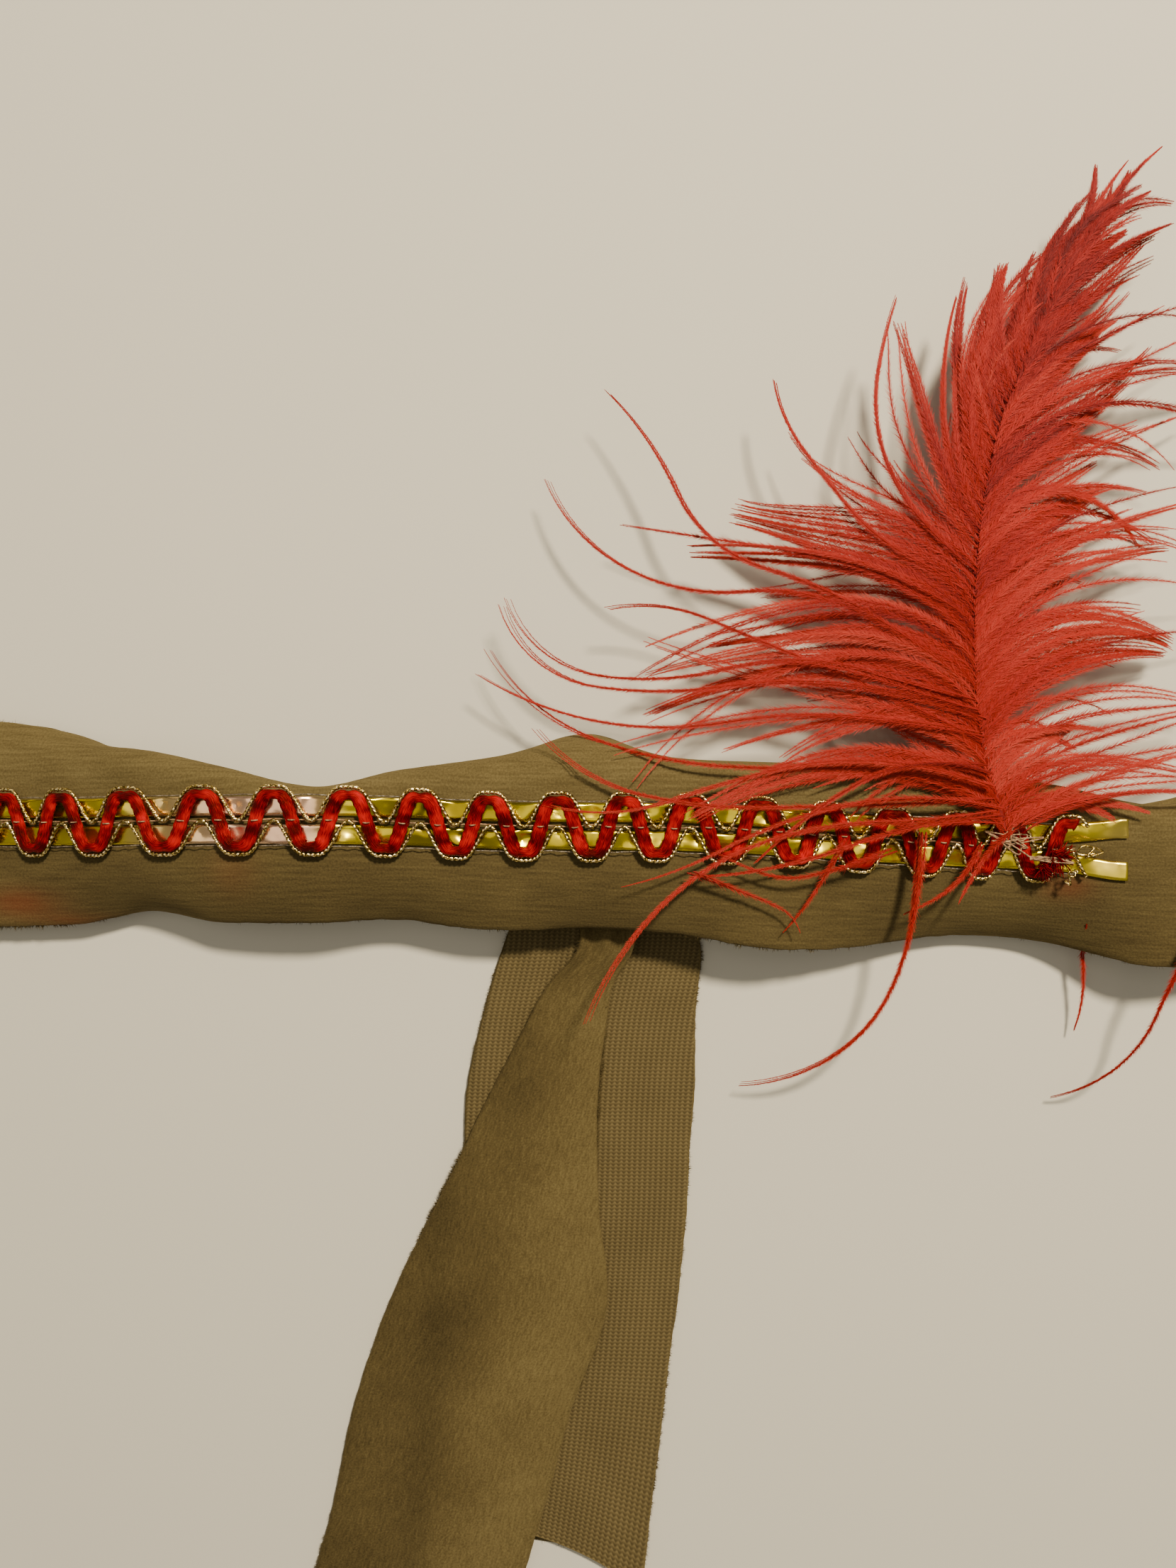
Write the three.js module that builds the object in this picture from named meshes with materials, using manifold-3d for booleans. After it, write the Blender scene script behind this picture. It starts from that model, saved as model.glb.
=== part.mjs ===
// Feathered headdress, lying flat: a tie-on velour headband with a braid trim and an ostrich plume.
// Millimetres. +X runs along the band towards the plume's end, +Y the way the plume points and +Z up
// from the surface that it lies on. The origin is on that surface, under the knot.
import * as THREE from "three";
import { mergeVertices } from "three/addons/utils/BufferGeometryUtils.js";
import Module from "manifold-3d";

// ---- driving dimensions -------------------------------------------------------------------

const clothThickness = 1.4;
const touchGap = 0.3; // clear space between pieces that touch
const hairline = 1e-4; // lengths and bends under this count as none

const bandAbove = 16.6; // from the trim's middle line to the cut edge on the plume's side
const trimBacking = 6.3; // the trim keeps this much of the cloth flat on each side of its middle line
const marginTurn = 10.3; // past it, the front half's lower margin bends over this much of the cloth
const foldTurn = 3.4; // and the back half's fold over within this much
const pleatDepth = 4; // the pleats where the knot gathers the band
const pleatCount = 2;
const endRun = 9; // the strip lies flat this far from each end of the loop

const foilWidth = 3;
const foilThickness = 0.5;
const foilFromMiddle = 0.7;
const foilSplay = 1.2; // the cut ends of the two foil strips part by this much each
const foilSplayLength = 12;

const redWidth = 1.9;
const redThickness = 1;
const redAmplitude = 3.85;

const goldDiameter = 0.8;
const goldReach = 5.5; // the furthest that a gold cord's centre comes from the middle line
const goldShoulder = 4; // the higher, the squarer a gold cord's crests

const trimStartX = -106;
const foilEndX = 85.9;
const redEndX = 77.6;
const goldEndX = 79.4;

const knotSize = { length: 20.6, width: 17, height: 8.4 };
const knotCentre = { x: 2, y: 1.5 };
const knotMiddle = 0.42; // the share of its height that the knot's widest part lies at
const wrap = { slant: 62, width: 4.2, rise: 0.16 }; // rise is a share of the knot's size

const tailLanding = 8; // the upper tail comes down beside the lower one within this

const quillDiameter = 2;
const quillTaper = 0.55; // the share of its diameter left at its tip
const lockThickness = 1.1;
const lockTaper = { width: 0.16, thickness: 0.5 }; // the shares left at a lock's tip
const lockLifts = [-0.25, 0.35]; // neighbouring locks lie above and below each other
const plumeFloor = 2.2; // no lock of the plume hangs lower than this

// ---- tables -------------------------------------------------------------------------------

// The band's front half, a row for each rise and fall. x, y and z place the trim's middle line, and
// roll lifts the plume's side. The margin on that side bends down by curlAbove, over turnAbove of
// its width from startAbove past the middle line. The other margin bends down by curlBelow, and
// below is its width with the trim's half. Angles are in degrees. repeats counts the waves of the
// braid, with a crest at each whole number.
const frontColumns = [
  "x", "y", "z", "roll", "startAbove", "turnAbove", "curlAbove", "curlBelow", "below", "repeats",
];
const frontRows = [
  [-119, 0, 5.5, 0, 6.3, 10.3, 0, 0, 17.4, -2.2],
  [-108, 0.2, 5.2, 2, 6.3, 10.3, 4, 2, 17.4, -1.25],
  [-96.9, 0.3, 6.2, 3, 6.3, 10.3, 40, 7, 17.4, -0.24],
  [-84.3, 0.4, 8.6, 4, 6.3, 10.3, 95, 28, 17.4, 1],
  [-73.8, 0.6, 10.8, 2, 8.1, 7.8, 165, 66, 17.4, 1.95],
  [-60.2, 0.8, 13.4, 0, 5.4, 8, 174, 46, 17.4, 3.02],
  [-43.5, 0.9, 14.8, 2, 2.6, 5.9, 178, 38, 17.4, 4.46],
  [-30.2, 0.7, 14, 6, 4.5, 8, 176, 43, 17.4, 5.66],
  [-15.3, 0.1, 13.2, 6, 6, 8.3, 128, 20, 17.4, 7.02],
  [0.1, -0.1, 13.2, 4, 6.3, 10.3, 78, 34, 17.4, 8.45],
  [14.7, -0.3, 13, 2, 6.6, 8.8, 140, 23, 17.4, 9.87],
  [28.3, -1, 12.4, 0, 7.3, 8.6, 160, 5, 18.4, 11.1],
  [42.1, -1.9, 11.4, 3, 7.8, 8.3, 165, 20, 18.2, 12.43],
  [58.4, -2.8, 10.2, 8, 7.5, 8.3, 170, 43, 17.4, 13.94],
  [67.2, -3.2, 10.1, 8, 7.2, 8.3, 170, 48, 17.4, 15],
  [76.6, -3.6, 10.8, 7, 6.1, 8.4, 178, 40, 17.5, 16],
  [91.5, -4, 12.6, 2, 3.7, 8.4, 180, 4, 18.2, 17.4],
  [105, -3.4, 13.4, 0, 5.4, 8.8, 120, 14, 17.8, 18.6],
  [121, -2, 11.6, 0, 6.3, 10.3, 45, 16, 17.4, 20],
  [136, -0.6, 8, 0, 6.3, 10.3, 0, 0, 17.4, 21.4],
].map((row) => Object.fromEntries(row.map((value, column) => [frontColumns[column], value])));

// The back half, which lies on the surface with its margins folded in over it. start is the half
// width left flat between the folds, and gather the share of the width that the knot leaves.
const leftBackRows = [
  { x: -8.6, y: 1.2, z: 4.6, start: 15.4, curl: 0, gather: 0.5 },
  { x: -17, y: -1.0, z: 2.9, start: 14, curl: 90, gather: 0.64 },
  { x: -29, y: -3.9, z: 1.2, start: 10.5, curl: 180, gather: 0.97 },
  { x: -44, y: -5.0, z: 0.7, start: 9.2, curl: 180, gather: 1 },
  { x: -66, y: -2.0, z: 0.7, start: 9.8, curl: 180, gather: 1 },
  { x: -84, y: -1.6, z: 0.7, start: 10.8, curl: 180, gather: 1 },
  { x: -99, y: -0.2, z: 0.7, start: 15.6, curl: 180, gather: 1 },
];
const rightBackRows = [
  { x: 118, y: -2.0, z: 0.7, start: 15.4, curl: 180, gather: 1 },
  { x: 106, y: -7.4, z: 0.7, start: 12.4, curl: 180, gather: 1 },
  { x: 90, y: -9.6, z: 0.7, start: 10.8, curl: 180, gather: 1 },
  { x: 70, y: -5.4, z: 0.7, start: 10.6, curl: 180, gather: 1 },
  { x: 48, y: -5.2, z: 0.7, start: 10.8, curl: 180, gather: 1 },
  { x: 33, y: -4.5, z: 1.2, start: 10.5, curl: 180, gather: 0.97 },
  { x: 21, y: -1.2, z: 2.9, start: 14, curl: 90, gather: 0.64 },
  { x: 12.6, y: 1.2, z: 4.6, start: 15.4, curl: 0, gather: 0.5 },
];
const bendSteps = 5;

// The tails, a row for each width and lean, from the knot to the cut end. leftY and rightY differ
// where the row slants. bow lifts the row's middle towards the knot.
const backTailRows = [
  { leftX: -4.5, leftY: -8, rightX: 10.5, rightY: -8, z: 2.4, pleat: 1.1, bow: 0 },
  { leftX: -10.2, leftY: -13, rightX: 15.6, rightY: -13, z: 1.5, pleat: 0.7, bow: 0 },
  { leftX: -14.0, leftY: -21, rightX: 18.9, rightY: -21, z: 0.8, pleat: 0.1, bow: 0 },
  { leftX: -18.0, leftY: -34, rightX: 17.8, rightY: -34, z: 0.7, pleat: 0, bow: 0 },
  { leftX: -20.2, leftY: -48, rightX: 17.4, rightY: -48, z: 0.7, pleat: 0, bow: 0 },
  { leftX: -20.6, leftY: -66, rightX: 16.4, rightY: -66, z: 0.7, pleat: 0, bow: 0 },
  { leftX: -21.2, leftY: -84, rightX: 14.4, rightY: -84, z: 0.7, pleat: 0, bow: 0 },
  { leftX: -22.8, leftY: -102, rightX: 12.1, rightY: -104, z: 0.7, pleat: 0, bow: 1 },
  { leftX: -24.6, leftY: -118.8, rightX: 8.9, rightY: -129.5, z: 0.7, pleat: 0, bow: 3.4 },
];
const frontTailRows = [
  { leftX: -1.6, leftY: -8, rightX: 7.4, rightY: -8, z: 6.2, pleat: 0.6, bow: 0 },
  { leftX: -1.4, leftY: -15, rightX: 7.6, rightY: -15, z: 5.6, pleat: 0.6, bow: 0 },
  { leftX: -1.8, leftY: -21.3, rightX: 7.0, rightY: -21.3, z: 4.2, pleat: 0.4, bow: 0 },
  { leftX: -6.8, leftY: -27.5, rightX: 3.7, rightY: -27.5, z: 3.2, pleat: 0.2, bow: 0 },
  { leftX: -11.2, leftY: -36, rightX: 2.8, rightY: -36, z: 2.7, pleat: 0, bow: 0 },
  { leftX: -18.7, leftY: -50.6, rightX: 1.6, rightY: -50.6, z: 2.6, pleat: 0, bow: 0 },
  { leftX: -26.2, leftY: -65.5, rightX: 1.4, rightY: -65.5, z: 2.6, pleat: 0, bow: 0 },
  { leftX: -33.8, leftY: -82.5, rightX: 2.6, rightY: -82.5, z: 2.6, pleat: 0, bow: 0 },
  { leftX: -39.2, leftY: -99, rightX: -3.4, rightY: -99, z: 2.6, pleat: 0, bow: 0 },
  { leftX: -42.8, leftY: -115, rightX: -8.0, rightY: -115, z: 2.6, pleat: 0, bow: 0 },
  { leftX: -47.8, leftY: -132, rightX: -15.4, rightY: -141, z: 2.6, pleat: 0, bow: 0 },
];

// The quill's line from the trim to its tip.
const quillRows = [
  { x: 64.6, y: 3.9, z: 13.2 },
  { x: 62.3, y: 10.8, z: 14.4 },
  { x: 60.5, y: 22.7, z: 16.2 },
  { x: 60.0, y: 34.7, z: 17.2 },
  { x: 61.1, y: 48.2, z: 17.2 },
  { x: 63.8, y: 61.5, z: 16.6 },
  { x: 67.6, y: 70.9, z: 16.0 },
  { x: 72.7, y: 82.5, z: 15.0 },
  { x: 79.9, y: 93.6, z: 13.6 },
];

// The locks of barbs. at is the share of the quill's length at the root; leave and arrive are the
// lock's headings at its root and tip, in degrees from +X; sink is how far its tip hangs below its
// root. Locks between two rows take values between theirs.
const leftLocks = [
  { at: 0.02, leave: 172, arrive: 150, length: 50, width: 7.5, sink: -1 },
  { at: 0.1, leave: 178, arrive: 160, length: 50, width: 9, sink: 5 },
  { at: 0.19, leave: 172, arrive: 158, length: 48, width: 10, sink: 9 },
  { at: 0.28, leave: 170, arrive: 146, length: 47, width: 10, sink: 10 },
  { at: 0.37, leave: 152, arrive: 128, length: 44, width: 10, sink: 10 },
  { at: 0.45, leave: 146, arrive: 92, length: 42, width: 9, sink: 9 },
  { at: 0.54, leave: 146, arrive: 70, length: 33, width: 9, sink: 6 },
  { at: 0.63, leave: 140, arrive: 60, length: 26, width: 9, sink: 3 },
  { at: 0.73, leave: 124, arrive: 54, length: 21, width: 8, sink: 1 },
  { at: 0.84, leave: 100, arrive: 50, length: 17, width: 6.5, sink: 1 },
  { at: 0.96, leave: 66, arrive: 46, length: 15, width: 5, sink: 1 },
];
const rightLocks = [
  { at: 0.02, leave: 30, arrive: -8, length: 36, width: 7.5, sink: 6 },
  { at: 0.1, leave: 36, arrive: -2, length: 42, width: 9, sink: 9 },
  { at: 0.19, leave: 42, arrive: 4, length: 45, width: 10, sink: 10 },
  { at: 0.28, leave: 46, arrive: 8, length: 47, width: 10, sink: 11 },
  { at: 0.37, leave: 50, arrive: 12, length: 47, width: 10, sink: 11 },
  { at: 0.45, leave: 50, arrive: 14, length: 46, width: 10, sink: 10 },
  { at: 0.54, leave: 50, arrive: 18, length: 42, width: 9, sink: 9 },
  { at: 0.63, leave: 48, arrive: 22, length: 38, width: 9, sink: 8 },
  { at: 0.73, leave: 48, arrive: 27, length: 34, width: 9, sink: 7 },
  { at: 0.84, leave: 50, arrive: 32, length: 27, width: 7.5, sink: 5 },
  { at: 0.96, leave: 54, arrive: 44, length: 18, width: 6, sink: 3 },
];
const locksPerSide = 13;

// ---- reading the tables -------------------------------------------------------------------

const { clamp, degToRad, lerp, smoothstep } = THREE.MathUtils;

// A smooth value between the middle two of four evenly spaced ones.
function betweenFour(share, before, from, to, after) {
  const slopeFrom = (to - before) / 2;
  const slopeTo = (after - from) / 2;
  const rise = to - from;
  return (
    from + share * (slopeFrom + share * (3 * rise - 2 * slopeFrom - slopeTo +
      share * (slopeFrom + slopeTo - 2 * rise)))
  );
}

// The row at a place, from 0 at the first row to 1 at the last, smooth between rows.
function rowAt(rows, place) {
  const last = rows.length - 1;
  const start = clamp(Math.floor(place * last), 0, last - 1);
  const four = [-1, 0, 1, 2].map((step) => rows[clamp(start + step, 0, last)]);
  const row = {};
  for (const column of Object.keys(rows[0])) {
    row[column] = betweenFour(place * last - start, ...four.map((found) => found[column]));
  }
  return row;
}

// The place at which a rising column reaches a value, found by halving the span.
function placeOf(rows, column, value, from = 0, to = 1) {
  let [low, high] = [from, to];
  for (let step = 0; step < 40; step++) {
    const middle = (low + high) / 2;
    if (rowAt(rows, middle)[column] < value) low = middle;
    else high = middle;
  }
  return (low + high) / 2;
}

// Moves every vertex of a three.js geometry, then drops what no longer holds.
function bent(geometry, move) {
  geometry.deleteAttribute("normal");
  geometry.deleteAttribute("uv");
  const whole = mergeVertices(geometry);
  const position = whole.getAttribute("position");
  const vertex = new THREE.Vector3();
  for (let i = 0; i < position.count; i++) {
    vertex.fromBufferAttribute(position, i);
    position.setXYZ(i, ...move(vertex).toArray());
  }
  return whole;
}

// ---- the band's surface -------------------------------------------------------------------

// The half turn between the lower row and the upper one, at an end of the flattened loop.
function bendRows(lower, upper, side) {
  const rows = [];
  const radius = (upper.z - lower.z) / 2;
  for (let step = 0; step <= bendSteps; step++) {
    const turn = (Math.PI * step) / bendSteps;
    const height = (1 - Math.cos(turn)) / 2;
    rows.push({
      ...lower,
      x: lower.x + side * radius * Math.sin(turn),
      y: lerp(lower.y, upper.y, height),
      z: lerp(lower.z, upper.z, height),
    });
  }
  return rows;
}

const plainRow = { roll: 0, below: frontRows[0].below, repeats: 0 };
const fullFront = frontRows.map((row) => ({
  ...row,
  startBelow: trimBacking,
  turnBelow: marginTurn,
  gather: 1,
}));
const fullBack = ({ x, y, z, start, curl, gather }) => ({
  ...{ x, y, z, gather },
  ...{ startAbove: start, turnAbove: foldTurn, curlAbove: curl },
  ...{ startBelow: start, turnBelow: foldTurn, curlBelow: curl },
  ...plainRow,
});
const fullLeftBack = leftBackRows.map(fullBack);
const fullRightBack = rightBackRows.map(fullBack);

// The strip's flat stretch next to an end of the loop, at an x.
const endRow = (back, x) => ({ ...back, x, y: 0, curlAbove: 0, curlBelow: 0 });
const leftEnd = endRow(fullLeftBack.at(-1), fullFront[0].x);
const rightEnd = endRow(fullRightBack[0], fullFront.at(-1).x);
const loopRows = [
  ...fullLeftBack,
  endRow(leftEnd, leftEnd.x + endRun),
  ...bendRows(leftEnd, fullFront[0], -1).slice(0, -1),
  ...fullFront,
  ...bendRows(rightEnd, fullFront.at(-1), 1).reverse().slice(1),
  endRow(rightEnd, rightEnd.x - endRun),
  ...fullRightBack,
];
const loopCurve = new THREE.CatmullRomCurve3(
  loopRows.map((row) => new THREE.Vector3(row.x, row.y, row.z)),
  false,
  "centripetal",
);
const frontStart = loopRows.indexOf(fullFront[0]) / (loopRows.length - 1);
const frontEnd = loopRows.indexOf(fullFront.at(-1)) / (loopRows.length - 1);

// A point of the strip's section at a place from 0 to 1 along it. sideways and up are measured from
// the middle line, level with the cloth there and square to its pile side.
function sectionPoint(place, sideways, up) {
  const section = new THREE.Vector2(sideways, up);
  section.rotateAround(new THREE.Vector2(), degToRad(rowAt(loopRows, place).roll));
  const along = loopCurve.getTangent(place).setY(0).normalize();
  const outward = along.clone().cross(new THREE.Vector3(0, 1, 0));
  const point = loopCurve.getPoint(place).addScaledVector(outward, section.y);
  return new THREE.Vector3(point.x, point.y + section.x, Math.max(point.z, 0));
}

// A point of the cloth: across is measured over it from the middle line, and height is out of its
// pile side from the middle of its thickness. Each margin runs straight to its start, turns evenly
// through its curl, then runs on straight.
function bandPoint(place, across, height) {
  const row = rowAt(loopRows, place);
  const side = Math.sign(across);
  const [start, length, curl] = side > 0
    ? [row.startAbove, row.turnAbove, row.curlAbove]
    : [row.startBelow, row.turnBelow, row.curlBelow];
  const bend = degToRad(curl) / length;
  const straight = Math.min(Math.abs(across), start);
  const turning = clamp(Math.abs(across) - straight, 0, length);
  const beyond = Math.abs(across) - straight - turning;
  const turn = bend * turning;
  const [reach, fall] = Math.abs(bend) < hairline
    ? [turning, 0]
    : [Math.sin(turn) / bend, (1 - Math.cos(turn)) / bend];
  const sideways = straight + reach + beyond * Math.cos(turn) + height * Math.sin(turn);
  const drop = fall + beyond * Math.sin(turn) - height * Math.cos(turn);
  const gathered = Math.max(1 - row.gather, 0);
  const pleat = pleatDepth * gathered * Math.cos((Math.PI * pleatCount * across) / bandAbove);
  return sectionPoint(place, row.gather * side * sideways, pleat - drop);
}

// Where the wave count or the x of the front half reaches a value.
const placeOfRepeat = (count) => placeOf(loopRows, "repeats", count, frontStart, frontEnd);
const placeOfX = (x) => placeOf(loopRows, "x", x, frontStart, frontEnd);
const repeatOfX = (x) => rowAt(loopRows, placeOfX(x)).repeats;

function bandGeometry() {
  const marginSteps = 4;
  const backingSteps = 1;
  const acrossSteps = 2 * marginSteps + backingSteps;
  const margin = marginSteps / acrossSteps;
  const box = new THREE.BoxGeometry(1, 1, 1, 2 * (loopRows.length - 1), acrossSteps, 1);
  return bent(box, ({ x, y, z }) => {
    const place = clamp(x + 0.5, 0, 1);
    const share = y + 0.5;
    const { below, startBelow, startAbove } = rowAt(loopRows, place);
    let across;
    if (share < margin) across = lerp(-below, -startBelow, share / margin);
    else if (share > 1 - margin) across = lerp(bandAbove, startAbove, (1 - share) / margin);
    else across = lerp(-startBelow, startAbove, (share - margin) / (1 - 2 * margin));
    return bandPoint(place, across, z * clothThickness);
  });
}

// ---- the trim -----------------------------------------------------------------------------

const foilHeight = clothThickness / 2 + touchGap + foilThickness / 2;
const foilTop = foilHeight + foilThickness / 2;
const redHeight = foilTop + touchGap + redThickness / 2;
const goldHeight = foilTop + touchGap + goldDiameter / 2;

function foilGeometry(side) {
  const from = placeOfX(trimStartX);
  const to = placeOfX(foilEndX);
  const steps = 38;
  return bent(new THREE.BoxGeometry(1, 1, 1, steps, 1, 1), ({ x, y, z }) => {
    const place = lerp(from, to, x + 0.5);
    const toEnd = foilEndX - rowAt(loopRows, place).x;
    const splay = foilSplay * smoothstep(foilSplayLength - toEnd, 0, foilSplayLength);
    const across = side * (foilFromMiddle + foilWidth / 2 + splay) + y * foilWidth;
    return sectionPoint(place, across, foilHeight + z * foilThickness);
  });
}

// The red cord swings evenly from side to side. A gold cord follows it round each crest on its own
// side, and comes back to the middle line between them.
const redWave = (repeat) => redAmplitude * Math.cos(2 * Math.PI * repeat);
const goldWave = (repeat, side) => {
  const fromCrest = side > 0 ? Math.sin(Math.PI * repeat) : Math.cos(Math.PI * repeat);
  return side * goldReach * (1 - Math.abs(fromCrest) ** goldShoulder);
};

// The curve of a wave laid on the band, with even steps along it.
function waveCurve(wave, height, endX, pointsPerRepeat) {
  const first = repeatOfX(trimStartX);
  const last = repeatOfX(endX);
  const count = Math.round((last - first) * pointsPerRepeat);
  const points = [];
  for (let i = 0; i <= count; i++) {
    const repeat = lerp(first, last, i / count);
    points.push(sectionPoint(placeOfRepeat(repeat), wave(repeat), height));
  }
  const curve = new THREE.CatmullRomCurve3(points);
  curve.arcLengthDivisions = count * 4;
  return curve;
}

function goldCordGeometry(side) {
  const curve = waveCurve((repeat) => goldWave(repeat, side), goldHeight, goldEndX, 24);
  const section = new THREE.Shape();
  section.absarc(0, 0, goldDiameter / 2, 0, 2 * Math.PI);
  return new THREE.ExtrudeGeometry(section, {
    steps: 136,
    curveSegments: 2,
    bevelEnabled: false,
    extrudePath: curve,
  });
}

// A cylinder's length is laid along a curve, and its round section is made as wide and as thick as
// sizeAt says. up is the way that the thickness faces.
function stripGeometry(curve, sides, steps, sizeAt, up) {
  return bent(new THREE.CylinderGeometry(0.5, 0.5, 1, sides, steps), ({ x, y, z }) => {
    const share = clamp(y + 0.5, 0, 1);
    const along = curve.getTangentAt(share);
    const across = along.clone().cross(up).normalize();
    const facing = across.clone().cross(along);
    const size = sizeAt(share);
    return curve
      .getPointAt(share)
      .addScaledVector(across, x * size.width)
      .addScaledVector(facing, z * size.thickness);
  });
}

function redCordGeometry() {
  const curve = waveCurve(redWave, redHeight, redEndX, 16);
  const size = { width: redWidth, thickness: redThickness };
  return stripGeometry(curve, 6, 92, () => size, new THREE.Vector3(0, 0, 1));
}

// ---- the knot and the tails ---------------------------------------------------------------

// A low pillow with a wrap of cloth that passes over it on the slant. Its underside is flat.
function knotGeometry() {
  const slant = degToRad(wrap.slant);
  return bent(new THREE.SphereGeometry(1, 18, 11), (point) => {
    const fromWrap = point.x * Math.sin(slant) - point.y * Math.cos(slant);
    const distance = (fromWrap * knotSize.length) / 2 / wrap.width;
    const swell = 1 + wrap.rise * Math.exp(-(distance ** 2));
    const rounded = point.multiplyScalar(swell);
    return new THREE.Vector3(
      knotCentre.x + (rounded.x * knotSize.length) / 2,
      knotCentre.y + (rounded.y * knotSize.width) / 2,
      Math.max(0, knotSize.height * lerp(knotMiddle, 1, rounded.z)),
    );
  });
}

// The left edge of the tail underneath, at a y.
function backTailEdge(y) {
  const place = placeOf(backTailRows.map((row) => ({ depth: -row.leftY })), "depth", -y);
  return rowAt(backTailRows, place).leftX;
}

// A tail is a sheet through its rows, with small pleats where the knot gathers it. The upper one
// comes down to the surface where it passes the lower one's edge.
function tailGeometry(rows, steps, acrossSteps, overBackTail) {
  const box = new THREE.BoxGeometry(1, 1, 1, acrossSteps, steps, 1);
  return bent(box, ({ x, y, z }) => {
    const row = rowAt(rows, clamp(0.5 - y, 0, 1));
    const share = x + 0.5;
    const place = new THREE.Vector3(
      lerp(row.leftX, row.rightX, share),
      lerp(row.leftY, row.rightY, share) + row.bow * 4 * share * (1 - share),
      row.z + row.pleat * Math.cos(4 * Math.PI * share),
    );
    if (overBackTail) {
      const edge = backTailEdge(place.y);
      const over = smoothstep(place.x, edge - tailLanding, edge - 1);
      place.z = lerp(clothThickness / 2, place.z, over);
    }
    place.z += z * clothThickness;
    return place;
  });
}

// ---- the plume ----------------------------------------------------------------------------

const wasm = await Module();
wasm.setup();

function solidOf(geometry) {
  const whole = mergeVertices(geometry, hairline);
  return new wasm.Manifold(
    new wasm.Mesh({
      numProp: 3,
      vertProperties: new Float32Array(whole.getAttribute("position").array),
      triVerts: new Uint32Array(whole.index.array),
    }),
  );
}

function geometryOf(solid) {
  const mesh = solid.getMesh();
  const geometry = new THREE.BufferGeometry();
  geometry.setAttribute("position", new THREE.BufferAttribute(mesh.vertProperties, 3));
  geometry.setIndex(new THREE.BufferAttribute(mesh.triVerts, 1));
  return geometry;
}

const quillCurve = new THREE.CatmullRomCurve3(
  quillRows.map((row) => new THREE.Vector3(row.x, row.y, row.z)),
);

// A lock leaves the quill at one heading and turns evenly to another, while it sinks.
function lockCurve(lock, lift) {
  const steps = 8;
  const points = [];
  const point = quillCurve.getPointAt(lock.at).clone();
  const rootZ = point.z + lift;
  for (let i = 0; i <= steps; i++) {
    const share = i / steps;
    const z = Math.max(rootZ - lock.sink * share ** 2, plumeFloor);
    points.push(new THREE.Vector3(point.x, point.y, z));
    const heading = degToRad(lerp(lock.leave, lock.arrive, (i + 0.5) / steps));
    point.x += (lock.length / steps) * Math.cos(heading);
    point.y += (lock.length / steps) * Math.sin(heading);
  }
  return new THREE.CatmullRomCurve3(points);
}

function plumeGeometry() {
  const up = new THREE.Vector3(0, 0, 1);
  const quillSize = (share) => {
    const size = quillDiameter * lerp(1, quillTaper, share);
    return { width: size, thickness: size };
  };
  let solid = solidOf(stripGeometry(quillCurve, 6, 18, quillSize, up));
  for (const table of [leftLocks, rightLocks]) {
    for (let i = 0; i < locksPerSide; i++) {
      const lock = rowAt(table, i / (locksPerSide - 1));
      const lift = lockLifts[i % lockLifts.length];
      const size = (share) => ({
        width: lock.width * lerp(1, lockTaper.width, share ** 1.5),
        thickness: lockThickness * lerp(1, lockTaper.thickness, share),
      });
      solid = solid.add(solidOf(stripGeometry(lockCurve(lock, lift), 4, 5, size, up)));
    }
  }
  return geometryOf(solid);
}

// ---- assembly -----------------------------------------------------------------------------

const velour = new THREE.MeshStandardMaterial({ color: "#6a542b", roughness: 0.95, metalness: 0 });
const knit = new THREE.MeshStandardMaterial({ color: "#6e5c32", roughness: 0.95, metalness: 0 });
const foil = new THREE.MeshStandardMaterial({ color: "#b5a53a", roughness: 0.18, metalness: 1 });
const satin = new THREE.MeshStandardMaterial({ color: "#b3121c", roughness: 0.35, metalness: 0 });
const goldThread = new THREE.MeshStandardMaterial({ color: "#c9b87a", roughness: 0.3, metalness: 1 });
const barbs = new THREE.MeshStandardMaterial({ color: "#c22a22", roughness: 0.8, metalness: 0 });

function piece(name, geometry, material) {
  const mesh = new THREE.Mesh(geometry, material);
  mesh.name = name;
  return mesh;
}

const headdress = new THREE.Group();
headdress.add(
  piece("band", bandGeometry(), velour),
  piece("knot", knotGeometry(), velour),
  piece("tail_back", tailGeometry(backTailRows, 14, 6, false), knit),
  piece("tail_front", tailGeometry(frontTailRows, 18, 6, true), velour),
  piece("gold_strip_upper", foilGeometry(1), foil),
  piece("gold_strip_lower", foilGeometry(-1), foil),
  piece("red_cord", redCordGeometry(), satin),
  piece("gold_cord_upper", goldCordGeometry(1), goldThread),
  piece("gold_cord_lower", goldCordGeometry(-1), goldThread),
  piece("plume", plumeGeometry(), barbs),
);

export default headdress;
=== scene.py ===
# Feathered headdress lying on pale paper, seen from straight above.
# Shapes are worked out in millimetres and turned to metres as each mesh is made.
import math
import time

import bpy
import numpy as np
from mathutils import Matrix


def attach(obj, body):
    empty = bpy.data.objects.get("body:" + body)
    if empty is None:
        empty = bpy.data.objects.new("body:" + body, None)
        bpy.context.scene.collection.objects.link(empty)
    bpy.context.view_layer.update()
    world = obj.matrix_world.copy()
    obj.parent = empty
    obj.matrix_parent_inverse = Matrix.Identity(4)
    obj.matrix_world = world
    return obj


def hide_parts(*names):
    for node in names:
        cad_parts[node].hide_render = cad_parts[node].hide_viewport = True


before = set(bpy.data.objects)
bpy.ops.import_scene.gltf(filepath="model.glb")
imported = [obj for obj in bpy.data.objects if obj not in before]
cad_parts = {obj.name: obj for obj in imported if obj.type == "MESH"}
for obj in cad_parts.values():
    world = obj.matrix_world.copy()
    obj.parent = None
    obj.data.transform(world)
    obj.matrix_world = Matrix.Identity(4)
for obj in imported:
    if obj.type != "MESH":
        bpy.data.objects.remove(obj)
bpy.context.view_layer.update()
started = time.time()
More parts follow.
